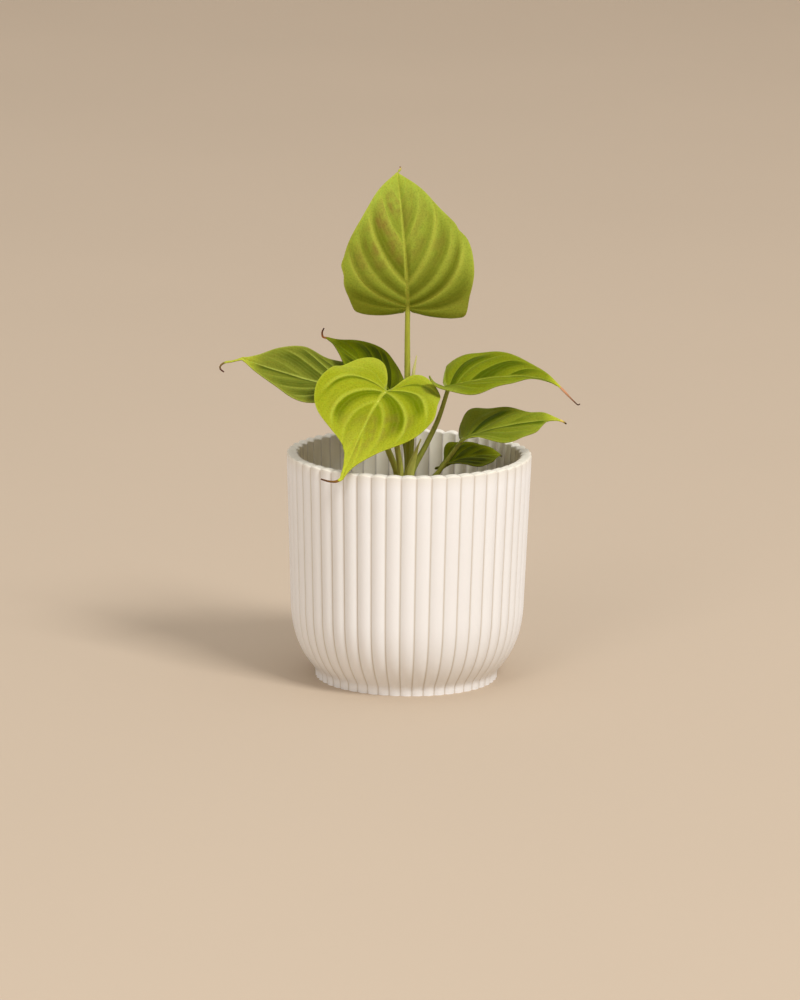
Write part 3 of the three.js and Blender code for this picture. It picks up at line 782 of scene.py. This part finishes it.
def evenly(points, count):
    """The same line with count points, evenly spaced along it."""
    lengths = np.append(0, np.cumsum(np.linalg.norm(np.diff(points, axis=0), axis=1)))
    places = np.linspace(0, lengths[-1], count)
    return np.stack([np.interp(places, lengths, axis) for axis in points.T], -1), lengths[-1]


def cubic(b, c, leaving, arriving, t):
    """Points between b and c of the cubic with these slopes at its ends."""
    third = 2 * (b - c) + leaving + arriving
    second = 3 * (c - b) - 2 * leaving - arriving
    return b + t * (leaving + t * (second + t * third))


def curve_through(knots, count, centripetal=True):
    """Evenly spaced points of the Catmull-Rom curve through some points, and its length."""
    knots = np.array(knots, float)
    knots = np.vstack([2 * knots[0] - knots[1], knots, 2 * knots[-1] - knots[-2]])
    share = np.linspace(0, 1, 40, endpoint=False)[:, None]
    stretches = []
    for a, b, c, d in zip(knots, knots[1:], knots[2:], knots[3:]):
        if centripetal:
            ab, bc, cd = (np.linalg.norm(q - p) ** 0.5 for p, q in ((a, b), (b, c), (c, d)))
            leaving = ((b - a) / ab - (c - a) / (ab + bc) + (c - b) / bc) * bc
            arriving = ((c - b) / bc - (d - b) / (bc + cd) + (d - c) / cd) * bc
        else:
            leaving, arriving = (c - a) / 2, (d - b) / 2
        stretches.append(cubic(b, c, leaving, arriving, share))
    return evenly(np.vstack([*stretches, knots[-2:-1]]), count)


def unit(vectors):
    return vectors / np.linalg.norm(vectors, axis=-1, keepdims=True)


def directions(points):
    return unit(np.gradient(points, axis=0))


def across_line(vectors, along):
    """The vectors' part at right angles to a line, with length 1."""
    return unit(vectors - along * np.sum(vectors * along, axis=-1, keepdims=True))


# Leaf blades

class Midrib:
    """Places and directions down the middle of a leaf: its green midrib, then its dried tail."""

    def __init__(self, leaf):
        steps, tail_steps = 120, 40
        start, pull, end = (np.array(leaf[key], float) for key in ("joint", "shoulder", "tip"))
        t = np.linspace(0, 1, 600)[:, None]
        bow = (1 - t) ** 2 * start + 2 * t * (1 - t) * pull + t ** 2 * end
        rib, self.length = evenly(bow, steps + 1)
        tail, tail_length = curve_through((leaf["tip"], *leaf["tail"]), tail_steps + 1, centripetal=False)
        self.whole = self.length + tail_length
        along = directions(rib)
        up = across_line(np.array(leaf["face"], float), along)
        turn = np.radians(leaf["twist"] * np.linspace(0, 1, steps + 1))[:, None]
        up = up * np.cos(turn) + np.cross(along, up) * np.sin(turn)
        tail_along = directions(tail)[1:]
        carried = [up[-1]]
        for direction in tail_along:
            carried.append(across_line(carried[-1], direction))
        self.at = np.append(np.linspace(0, self.length, steps + 1),
                            self.length + tail_length * np.arange(1, tail_steps + 1) / tail_steps)
        self.point = np.vstack([rib, tail[1:]])
        self.along = np.vstack([along, tail_along])
        self.up = np.vstack([up, carried[1:]])

    def frames(self, distance):
        point, along, up = (
            np.stack([np.interp(distance, self.at, axis) for axis in values.T], -1)
            for values in (self.point, self.along, self.up)
        )
        along = unit(along)
        return point, along, across_line(up, along)


def place_blade(leaf, rib, side, hand, u, v, lift):
    """Points in space of a flat half blade: u along the midrib, v across, lifted off the blade."""
    point, along, up = rib.frames(np.maximum(u, 0))
    across = np.cross(along, up)
    back = np.maximum(-u, 0)
    bend = math.radians(side["curl"]) / max(abs(side["lobe"]), 3)
    turn = bend * back
    reach = back if abs(bend) < 1e-6 else np.sin(turn) / bend
    fall = 0 * back if abs(bend) < 1e-6 else (1 - np.cos(turn)) / bend
    lobe_up = up * np.cos(turn)[:, None] - along * np.sin(turn)[:, None]
    fold = math.radians(side["fold"])
    wave = leaf["wave"] * np.sin(4 * np.pi * u / rib.length + side["phase"])
    outwards = v / max(side["widths"])
    height = v * math.sin(fold) + (wave - leaf["droop"]) * outwards ** 2 + lift
    return (point - along * reach[:, None] - up * fall[:, None]
            + across * (hand * v * math.cos(fold))[:, None] + lobe_up * height[:, None])


def margin_curve(side, rib, count, bumps):
    """The flat margin of one side, from the notch round the lobe to the end of the tail."""
    base = side["widths"][0]
    knots = [(u * side["lobe"], v * base) for u, v in LOBE_OUTLINE]
    knots += [(share * rib.length, width) for share, width in zip(WIDTH_STATIONS, side["widths"])]
    knots += [(rib.length, TIP_HALF_WIDTH), ((rib.length + rib.whole) / 2, TAIL_HALF_WIDTHS[0]),
              (rib.whole, TAIL_HALF_WIDTHS[1])]
    knots = np.array([knots[0], *knots, knots[-1]])
    place = np.linspace(0, len(knots) - 3, count)
    first = np.minimum(place.astype(int), len(knots) - 4)
    t = (place - first)[:, None]
    a, b, c, d = (knots[first + k] for k in range(4))
    margin = cubic(b, c, (c - a) / 2, (d - b) / 2, t)
    for share, height, half_width in bumps:
        margin[:, 1] += height * np.exp(-(((margin[:, 0] / rib.length - share) / half_width) ** 2))
    return margin


def vein_lines(leaf, rib, ranks):
    """For each rank, where its line leaves the midrib, where it bends to and where it meets each margin."""
    count = 1200
    veins, bumps = leaf["look"]["veins"], leaf["look"]["bumps"]
    margins = [margin_curve(leaf[side], rib, count, [bump[1:] for bump in bumps if bump[0] == side])
               for side in ("left", "right")]
    mean = (margins[0][:, 0] + margins[1][:, 0]) / 2
    turn = np.argmin(mean)
    places = [0, turn * 0.75]
    for vein in veins[2:]:
        places.append(turn + np.searchsorted(mean[turn:], vein["end"] * rib.length))
    places.append(count - 1)
    numbers = np.arange(len(places))
    place = np.interp(ranks, numbers, places)
    ends = [np.stack([np.interp(place, np.arange(count), axis) for axis in m.T], -1) for m in margins]
    roots = [vein["root"] * rib.length for vein in veins] + [rib.whole]
    bends = [vein["pull"][0] * rib.length for vein in veins] + [rib.whole]
    wides = [vein["pull"][1] for vein in veins] + [0]
    return *(np.interp(ranks, numbers, values) for values in (roots, bends, wides)), ends, margins


def flat_blade(leaf, rib, ranks, shares):
    """Flat places of the blade's vertices: share 0 is the left margin, 0.5 the midrib, 1 the right."""
    roots, bends, wides, ends, margins = vein_lines(leaf, rib, ranks)
    t = np.abs(2 * shares - 1)
    u, v = np.empty(len(t)), np.empty(len(t))
    for name, end, margin, half in zip(("left", "right"), ends, margins, (shares < 0.5, shares >= 0.5)):
        s = t[half]
        u[half] = (1 - s) ** 2 * roots[half] + 2 * s * (1 - s) * bends[half] + s ** 2 * end[half, 0]
        v[half] = 2 * s * (1 - s) * wides[half] * max(leaf[name]["widths"]) + s ** 2 * end[half, 1]
        ahead = margin[np.argmin(margin[:, 0]):]
        limit = np.interp(u[half], *ahead.T) * (0.9 + 0.1 * s)
        v[half] = np.where(u[half] > 0, np.minimum(v[half], limit), v[half])
    return u, v, t, margins


def nearest_edge(u, v, margin):
    """Flat distance from each point to the margin."""
    edge = margin[::6]
    square = (u[:, None] - edge[None, :, 0]) ** 2 + (v[:, None] - edge[None, :, 1]) ** 2
    return np.sqrt(square.min(1))


def build_blade(leaf, settings):
    rib = Midrib(leaf)
    last = len(leaf["look"]["veins"])
    columns, rows = LINES_PER_VEIN * last, 2 * STEPS_ACROSS
    piece, lengthwise, crosswise = grid(f"leaf_blade_{leaf['name']}", columns, rows)
    ranks = np.round(lengthwise * columns) / LINES_PER_VEIN
    shares = 1 - crosswise
    u, v, t, margins = flat_blade(leaf, rib, ranks, shares)
    ahead = flat_blade(leaf, rib, np.minimum(ranks + RANK_STEP, last), shares)
    behind = flat_blade(leaf, rib, np.maximum(ranks - RANK_STEP, 0), shares)
    outer = flat_blade(leaf, rib, ranks, shares + np.where(shares < 0.5, -1, 1) * OUTWARD_STEP)
    step = np.stack([ahead[0] - behind[0], ahead[1] - behind[1]], -1) / (2 * RANK_STEP)
    line = np.stack([outer[0] - u, outer[1] - v], -1)
    line /= np.maximum(np.linalg.norm(line, axis=1, keepdims=True), 1e-9)
    pitch = np.abs(step[:, 0] * line[:, 1] - step[:, 1] * line[:, 0])
    on_left = shares < 0.5
    edge = np.where(on_left, nearest_edge(u, v, margins[0]), nearest_edge(u, v, margins[1]))
    spine = np.hypot(np.minimum(u, 0), v)

    part = ranks % 1
    depths = np.interp(ranks, np.arange(last + 1), [vein["depth"] for vein in leaf["look"]["veins"]] + [0])
    gap = np.minimum(part, 1 - part) * pitch
    cushion = np.sin(np.pi * part) ** 2 * np.minimum(pitch / 8, 1)
    shelter = np.clip(edge / 3, 0, 1) * np.clip(spine / 3, 0, 1)
    lift = settings.quilting / MM * cushion * shelter
    sunk = np.exp(-((gap / SUNK_VEIN_HALF_WIDTH) ** 2))
    lift -= settings.vein_depth / MM * depths * sunk * np.clip(edge / 2, 0, 1)
    lift -= settings.vein_depth / MM * np.exp(-((spine / SUNK_MIDRIB_HALF_WIDTH) ** 2)) * (u < rib.length)

    points = np.empty((len(u), 3))
    for side, hand, chosen in (("left", -1, on_left), ("right", 1, ~on_left)):
        points[chosen] = place_blade(leaf, rib, leaf[side], hand, u[chosen], v[chosen], lift[chosen])
    set_coordinates(piece.data, points * MM)
    mesh = piece.data
    mark(mesh, "rank", ranks)
    mark(mesh, "side", np.where(on_left, -t, t))
    mark(mesh, "pitch", pitch)
    mark(mesh, "spine", spine)
    mark(mesh, "edge", edge)
    mark(mesh, "along", np.clip(u / rib.length, 0, 1))
    mark(mesh, "dry", np.clip((u - rib.length) / (rib.whole - rib.length), 0, 1))
    select(piece)
    bpy.ops.object.mode_set(mode="EDIT")
    bpy.ops.mesh.select_all(action="SELECT")
    bpy.ops.mesh.remove_doubles(threshold=SAME_PLACE)
    bpy.ops.object.mode_set(mode="OBJECT")
    materials = (blade_finish(leaf, settings), underside_finish(leaf, settings))
    finish_piece(piece, LEAF_SLOTS[leaf["name"]], f"blade_{leaf['name']}", materials=materials)
    apply_modifier(piece, "SOLIDIFY", thickness=settings.thickness, offset=0, material_offset=1)
    smooth(piece)
    return piece


# Stalks, spear, sheath

def stalk_path(leaf):
    """Knots of a leaf's stalk, from inside the stem to the joint."""
    angle = math.radians(leaf["foot"]["angle"])
    outwards = np.array((math.cos(angle), math.sin(angle), 0))
    foot = SOIL_LEVEL + leaf["foot"]["height"]
    start = [outwards * (STEM_RADIUS + reach) + (0, 0, foot + rise)
             for reach, rise in ((0.3, 0), (2.5, 0.6), (4.1, 4))]
    return [*start, *leaf["stalk"], leaf["joint"]]


def rod(name, centres, radii):
    """Round rod along a line: a curve with a bevel, turned into a mesh."""
    select()
    bpy.ops.curve.primitive_bezier_curve_add()
    piece = bpy.context.object
    piece.name = name
    curve = piece.data
    curve.splines.clear()
    spline = curve.splines.new("POLY")
    spline.points.add(len(centres) - 1)
    spline.points.foreach_set("co", np.hstack([centres, np.ones((len(centres), 1))]).ravel())
    spline.points.foreach_set("radius", radii)
    curve.bevel_depth = 1
    curve.bevel_resolution = ROD_BEVEL
    curve.use_fill_caps = True
    bpy.ops.object.convert(target="MESH")
    return bpy.context.object


def bristles(piece, count, length, seed):
    """Adds thin bristles that stand out of a piece's surface, copies of one three-sided cone."""
    select()
    bpy.ops.mesh.primitive_cone_add(vertices=3, radius1=BRISTLE_RADIUS, depth=1, location=(0, 0, 0.5))
    bpy.ops.object.transform_apply(location=True, rotation=True, scale=True)
    thorn, thorn_faces = template()
    draw = np.random.default_rng(seed)
    mesh = piece.data
    areas = np.array([face.area for face in mesh.polygons])
    chosen = draw.choice(len(areas), count, p=areas / areas.sum())
    points, faces = [], []
    for number in chosen:
        face = mesh.polygons[number]
        corners = [np.array(mesh.vertices[k].co) for k in face.vertices]
        seat = draw.dirichlet(np.ones(len(corners))) @ np.array(corners)
        out = unit(np.array(face.normal) + draw.normal(0, 0.25, 3))
        first = unit(np.cross(out, (0.3, 0.5, 0.8)))
        second = np.cross(out, first)
        size = length * draw.uniform(0.5, 1.1)
        start = len(points)
        points.extend(seat + size * (x * first + y * second + (z - 0.1) * out) for x, y, z in thorn)
        faces.extend(tuple(start + k for k in face_corners) for face_corners in thorn_faces)
    return loose_piece(f"{piece.name}_bristles", points, faces)


def build_stalk(leaf, settings, hair_finish):
    """Leaf stalk that runs on under the blade as its thick midrib."""
    rib = Midrib(leaf)
    stalk, length = curve_through(stalk_path(leaf), STALK_STEPS)
    share = np.linspace(0, 1, STALK_STEPS)
    radii = blend(leaf["foot"]["radius"], leaf["top_radius"], share)
    radii = radii * (1 + 0.18 * np.exp(-((1 - share) * length / 2.5) ** 2))
    under = np.linspace(0.02, 0.9, MIDRIB_STEPS) * rib.length
    point, _, up = rib.frames(under)
    rib_radii = blend(0.62 * leaf["top_radius"], 0.22, np.linspace(0, 1, len(under)) ** 0.6)
    point = point - up * (0.25 + 0.75 * rib_radii[:, None])
    centres = np.vstack([stalk[:-1], point])
    piece = rod(f"leaf_stalk_{leaf['name']}", centres * MM, np.append(radii[:-1], rib_radii) * MM)
    piece.data.materials.clear()
    piece.data.materials.append(stalk_finish(f"stalk_{leaf['name']}", leaf["look"]["green"]))
    smooth(piece)
    hairs = bristles(piece, int(BRISTLES_PER_MM * length), settings.hair, len(leaf["name"]))
    hairs.data.materials.append(hair_finish)
    select(piece, hairs)
    bpy.ops.object.join()
    return finish_piece(piece, "stalk_green", f"petiole_{leaf['name']}")


def wrapped(lengthwise, centres, first, second, radius, angle):
    """Points round a line, from the shares of its length, its two cross directions and polar places."""
    row = np.round(lengthwise * (len(centres) - 1)).astype(int)
    return (centres[row] + first[row] * (radius * np.cos(angle))[:, None]
            + second[row] * (radius * np.sin(angle))[:, None])


def build_spear():
    """The next leaf, still rolled: one layer wound round itself to a point."""
    piece, lengthwise, around = grid("rolled_new_leaf", 60, 40)
    centres, _ = curve_through(((0, 0, STEM_TOP + GAP), *SPEAR_PATH), 61)
    along = directions(centres)
    side = across_line(np.array((1.0, 0, 0)), along)
    front = np.cross(along, side)
    taper = blend(*SPEAR_RADII, lengthwise) * np.clip((1 - lengthwise) / 0.16, 0.1, 1) ** 0.6
    angle = 2 * np.pi * SPEAR_TURNS * around + 2.2 * lengthwise
    radius = taper * (1 - 0.22 * around)
    set_coordinates(piece.data, wrapped(lengthwise, centres, side, front, radius, angle) * MM)
    mark(piece.data, "reach", lengthwise)
    apply_modifier(piece, "SOLIDIFY", thickness=0.15 * MM, offset=0)
    smooth(piece)
    green = stalk_finish("new_leaf_green", linear(172, 178, 70), linear(206, 202, 130), 0.2)
    return finish_piece(piece, "spear_pale", "new_leaf_spear", materials=(green,))


def build_sheath(settings, hair_finish):
    """The sheath at the foot of the upper right stalk, with a frayed tip."""
    leaf = next(leaf for leaf in LEAVES if leaf["name"] == "right_upper")
    centres, length = curve_through(stalk_path(leaf), 201)
    along = directions(centres)
    left = unit(np.cross((0, -1, 0), along))
    ahead = np.cross(along, left)
    piece, share, around = grid("stalk_sheath", 60, 36)
    radius = blend(*SHEATH_RADII, np.sin(share * np.pi / 2))
    half = np.radians(blend(*SHEATH_HALF_ANGLES, share ** 1.5))
    angle = half * (2 * around - 1)
    radius = radius + 0.12 * np.sin(9 * angle + 3 * share) * share
    points = wrapped(blend(*SHEATH_SPAN, share) / length, centres, left, ahead, radius, angle)
    set_coordinates(piece.data, points * MM)
    mark(piece.data, "reach", share)
    apply_modifier(piece, "SOLIDIFY", thickness=0.4 * MM, offset=0)
    smooth(piece)
    # Painted light: the sheath's green is lighter than the stalks', where the leaves above shade it.
    green = stalk_finish("sheath_green", linear(212, 216, 104), linear(196, 192, 94), 0.3)
    piece.data.materials.append(green)
    tuft = bristles(piece, SHEATH_BRISTLES, 1.6 * settings.hair, SHEATH_SEED)
    tuft.data.materials.append(hair_finish)
    select(piece, tuft)
    bpy.ops.object.join()
    return finish_piece(piece, "sheath_green", "cataphyll")


# Pot

def pot_outline(settings):
    """[radius, height] pairs up the outside, over the lip and down the inside, in millimetres."""
    rim = settings.rim_radius / MM
    wall = settings.wall / MM
    lip = settings.lip / MM
    t = np.linspace(0, 1, BOWL_RINGS + 1)[:, None]
    knots = [np.array(k, float) for k in (BOWL_START, BOWL_PULL, BOWL_SHOULDER, BOWL_END)]
    weights = ((1 - t) ** 3, 3 * t * (1 - t) ** 2, 3 * t ** 2 * (1 - t), t ** 3)
    bowl = sum(w * k for w, k in zip(weights, knots))
    heading = directions(bowl)
    inside_bowl = bowl + np.stack([-heading[:, 1], heading[:, 0]], -1) * wall
    low = np.array(BOWL_END, float)
    high = np.array((rim, POT_TOP), float)
    share = np.linspace(0, 1, WALL_RINGS + 1)[1:, None]
    side = blend(low, high - (high - low) * lip / (POT_TOP - low[1]), share)
    turn = np.linspace(0, np.pi / 2, LIP_STEPS + 1)[1:]
    outer_lip = [(rim - lip + lip * math.cos(a), POT_TOP - lip + lip * math.sin(a)) for a in turn]
    inner_lip = [(rim - wall + lip - lip * math.sin(a), POT_TOP - lip + lip * math.cos(a))
                 for a in (0, *turn)]
    inner_side = side[::-1][1:] - (wall, 0)
    foot = [(FOOT_RADIUS, 0), (FOOT_RADIUS + 0.1, 2.6), *FOOT_ROUND]
    return [*foot, *bowl[1:], *side, *outer_lip, *inner_lip, *inner_side,
            *inside_bowl[::-1][:-2], (FLOOR_RADIUS, FLOOR_HEIGHT)]


def across_rib(points, ribs):
    """Where a point lies across its rib: 0 on the crest, 1 or -1 in a valley."""
    turn = np.arctan2(points[:, 0], -points[:, 1]) / (2 * np.pi)
    return 2 * ((turn * ribs + 0.5) % 1) - 1


def build_pot(settings):
    depth = settings.rib_depth / settings.rim_radius

    def narrowing(points):
        return 1 - depth * across_rib(points, settings.ribs) ** 2

    def scallop(points):
        share = narrowing(points)
        return points * np.stack([share, share, np.ones(len(points))], -1)

    outline = [(radius * MM, height * MM) for radius, height in pot_outline(settings)]
    piece = ring_stack("fluted_pot", outline, settings.ribs * RIB_FACETS, scallop)
    points = coordinates(piece.data)
    outside = np.array(outline[:np.argmax([height for _, height in outline]) + 1])
    radius = np.hypot(points[:, 0], points[:, 1]) / narrowing(points)
    inwards = np.interp(points[:, 2], outside[:, 1], outside[:, 0]) - radius
    mark(piece.data, "inner", np.clip(inwards / settings.wall, 0, 1))
    valley = across_rib(points, settings.ribs) ** 2
    mark(piece.data, "valley", valley)
    near_top = np.clip(1 - (outside[-1, 1] - points[:, 2]) / settings.lip / 2, 0, 1)
    mark(piece.data, "rim", near_top)
    points[:, 2] -= settings.crease * valley * near_top * (1 - 0.4 * np.clip(inwards / settings.wall, 0, 1))
    set_coordinates(piece.data, points)
    smooth(piece, 40)
    return finish_piece(piece, "pot_ceramic", "pot", materials=(glaze_finish(settings),))


# Soil and stem

def soil_height(x, y):
    """Clods of the potting mix, in millimetres, as in the part's source."""
    clods = np.sin(0.31 * x + 1.3) * np.cos(0.27 * y - 0.4) + 0.6 * np.sin(0.62 * x - 0.5 * y)
    return 0.9 * np.clip((70 - np.hypot(x, y)) / 12, 0, 1) * clods


def scatter(name, count, material, size, seed, flatness):
    """Loose bits that lie half sunk on the soil: jittered copies of one small rounded lump."""
    select()
    bpy.ops.mesh.primitive_ico_sphere_add(subdivisions=2, radius=1)
    ball, ball_faces = template()
    draw = np.random.default_rng(seed)
    points, faces = [], []
    for number in range(count):
        radius = SCATTER_RADIUS * math.sqrt(draw.uniform(0.012, 1))
        angle = draw.uniform(0, 2 * math.pi)
        x, y = radius * math.cos(angle), radius * math.sin(angle)
        girth = size * draw.uniform(0.5, 1.2)
        stretch = np.array((girth, girth * draw.uniform(0.4, 0.8), girth * flatness))
        knobs = 1 + 0.22 * np.sin(ball @ draw.normal(0, 3, 3) + draw.uniform(0, 6))
        tilt = Matrix.Rotation(draw.uniform(0, 6.28), 3, "Z") @ Matrix.Rotation(draw.normal(0, 0.25), 3, "X")
        bit = (ball * knobs[:, None] * stretch) @ np.array(tilt).T
        height = SOIL_LEVEL + float(soil_height(np.array(x), np.array(y))) + girth * flatness * 0.35
        points.append(bit + (x, y, height))
        faces.append(np.array(ball_faces) + number * len(ball))
    piece = loose_piece(name, np.vstack(points) * MM, np.vstack(faces).tolist())
    smooth(piece, 50)
    return finish_piece(piece, "potting_soil", materials=(material,))


def build_soil(settings):
    """Crumbly top of the potting mix, a layer a few millimetres thick, with bark chips and perlite on it."""
    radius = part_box("soil")[1].x / MM + MIX_OVERLAP
    piece, across, deep = grid("potting_mix", MIX_GRID, MIX_GRID)
    x, y = 2 * across - 1, 2 * deep - 1
    disc = np.stack([x * np.sqrt(1 - y ** 2 / 2), y * np.sqrt(1 - x ** 2 / 2)], -1) * radius
    height = SOIL_LEVEL + soil_height(disc[:, 0], disc[:, 1])
    set_coordinates(piece.data, np.column_stack([disc, height]) * MM)
    for number, (size, strength) in enumerate(CRUMBS):
        texture = bpy.data.textures.new(f"crumbs_{number}", "CLOUDS")
        texture.noise_scale = size * MM
        texture.noise_depth = 3
        apply_modifier(piece, "DISPLACE", texture=texture, texture_coords="LOCAL", mid_level=0.5,
                       strength=strength * MM)
    apply_modifier(piece, "SOLIDIFY", thickness=MIX_THICKNESS * MM, offset=-1)
    smooth(piece, 80)
    finish_piece(piece, "potting_soil", "soil", materials=(peat_finish(settings),))
    scatter("bark_chips", settings.chips, bark_finish(settings), **BARK)
    scatter("perlite_grains", settings.perlite, perlite_finish(), **PERLITE)


def build_stem():
    """Short stem with the rings that old leaves left."""
    outline = [(3.4, SOIL_LEVEL - 6), (4, SOIL_LEVEL - 2)]
    for height in np.arange(SOIL_LEVEL, STEM_TOP - 1, 0.8):
        turn = 2 * math.pi * (height - SOIL_LEVEL) / STEM_RING_SPACING
        outline.append((3.75 + 0.25 * math.cos(turn), height))
    outline += [(3.1, STEM_TOP - 0.5), (1.8, STEM_TOP)]
    piece = ring_stack("plant_stem", [(r * MM, z * MM) for r, z in outline], STEM_SIDES)
    smooth(piece)
    green = stalk_finish("stem_green", linear(118, 118, 56))
    return finish_piece(piece, "stem_green", "stem", materials=(green,))


# Stage

def build_backdrop(settings):
    """Round floor that sweeps up into a wall on all sides."""
    flat, bend, top = 4.5, 2.0, 3.5
    turn = np.linspace(0, math.pi / 2, 13)
    outline = [(flat + bend * math.sin(a), bend - bend * math.cos(a)) for a in turn]
    floor = ring_stack("studio_floor", [(0.5, 0), *outline, (flat + bend, top)], FLOOR_SIDES, closed=False)
    smooth(floor, 40)
    floor.data.materials.append(stage_finish(settings))


def add_light(name, place, size, power):
    select()
    bpy.ops.object.light_add(type="AREA", location=place)
    light = bpy.context.object
    light.name = name
    light.data.shape = "RECTANGLE"
    light.data.size, light.data.size_y = size
    light.data.energy = power
    light.data.color = LIGHT_COLOUR
    light.rotation_euler = (Vector(LIGHT_AIM) - Vector(place)).to_track_quat("-Z", "Y").to_euler()


def build_stage(settings):
    aim = Vector(CAMERA_AIM) * MM
    back = Vector((0, -math.cos(settings.elevation), math.sin(settings.elevation)))
    right = Vector((1, 0, 0))
    up = back.cross(right)
    turned = right * math.cos(settings.roll) + up * math.sin(settings.roll)
    select()
    bpy.ops.object.camera_add(location=aim + back * settings.distance)
    camera = bpy.context.object
    camera.name = "camera"
    camera.rotation_euler = Matrix((turned, back.cross(turned), back)).transposed().to_euler()
    camera.data.sensor_width = 36
    camera.data.lens = settings.lens
    bpy.context.scene.camera = camera
    build_backdrop(settings)
    for light in LIGHTS:
        add_light(*light)
    world = bpy.data.worlds.new("studio")
    bpy.context.scene.world = world
    world.use_nodes = True
    sky = world.node_tree.nodes["Background"].inputs
    sky["Color"].default_value = (*LIGHT_COLOUR, 1)
    sky["Strength"].default_value = WORLD_STRENGTH
    bpy.context.scene.view_settings.view_transform = "Standard"


# Add-on

class PHILODENDRON_OT_stage(bpy.types.Operator):
    """Add the floor, the lights and the camera"""
    bl_idname = "philodendron.stage"
    bl_label = "Stage"

    def execute(self, context):
        build_stage(context.scene.philodendron_stage)
        return {"FINISHED"}


class PHILODENDRON_OT_pot(bpy.types.Operator):
    """Model the fluted cover pot"""
    bl_idname = "philodendron.pot"
    bl_label = "Pot"

    def execute(self, context):
        build_pot(context.scene.philodendron_pot)
        return {"FINISHED"}


class PHILODENDRON_OT_soil(bpy.types.Operator):
    """Model the potting mix with its bark and perlite"""
    bl_idname = "philodendron.soil"
    bl_label = "Soil"

    def execute(self, context):
        build_soil(context.scene.philodendron_soil)
        return {"FINISHED"}


class PHILODENDRON_OT_stem(bpy.types.Operator):
    """Model the short stem"""
    bl_idname = "philodendron.stem"
    bl_label = "Stem"

    def execute(self, context):
        build_stem()
        return {"FINISHED"}


class PHILODENDRON_OT_blades(bpy.types.Operator):
    """Model the leaf blades"""
    bl_idname = "philodendron.blades"
    bl_label = "Leaf blades"

    def execute(self, context):
        for leaf in LEAVES:
            build_blade(leaf, context.scene.philodendron_leaf)
        return {"FINISHED"}


class PHILODENDRON_OT_stalks(bpy.types.Operator):
    """Model the leaf stalks, the sheath and the rolled new leaf"""
    bl_idname = "philodendron.stalks"
    bl_label = "Stalks, sheath and new leaf"

    def execute(self, context):
        settings = context.scene.philodendron_leaf
        hair = bristle_finish()
        for leaf in LEAVES:
            build_stalk(leaf, settings, hair)
        build_sheath(settings, hair)
        build_spear()
        return {"FINISHED"}


class PHILODENDRON_PT_panel(bpy.types.Panel):
    """Lists the operators in the order in which they run"""
    bl_label = "Philodendron"
    bl_space_type = "VIEW_3D"
    bl_region_type = "UI"
    bl_category = "Philodendron"

    def draw(self, context):
        for operator in OPERATORS:
            self.layout.operator(operator.bl_idname)


OPERATORS = (
    PHILODENDRON_OT_stage,
    PHILODENDRON_OT_pot,
    PHILODENDRON_OT_soil,
    PHILODENDRON_OT_stem,
    PHILODENDRON_OT_blades,
    PHILODENDRON_OT_stalks,
)
SETTINGS = {
    "philodendron_pot": PotSettings,
    "philodendron_leaf": LeafSettings,
    "philodendron_soil": SoilSettings,
    "philodendron_stage": StageSettings,
}


def register():
    for group in (*SETTINGS.values(), *OPERATORS, PHILODENDRON_PT_panel):
        bpy.utils.register_class(group)
    for name, group in SETTINGS.items():
        setattr(bpy.types.Scene, name, PointerProperty(type=group))


def unregister():
    for name in SETTINGS:
        delattr(bpy.types.Scene, name)
    for group in (PHILODENDRON_PT_panel, *reversed(OPERATORS), *SETTINGS.values()):
        bpy.utils.unregister_class(group)


def main():
    register()
    for operator in OPERATORS:
        category, action = operator.bl_idname.split(".")
        getattr(getattr(bpy.ops, category), action)()


if __name__ == "__main__":
    main()
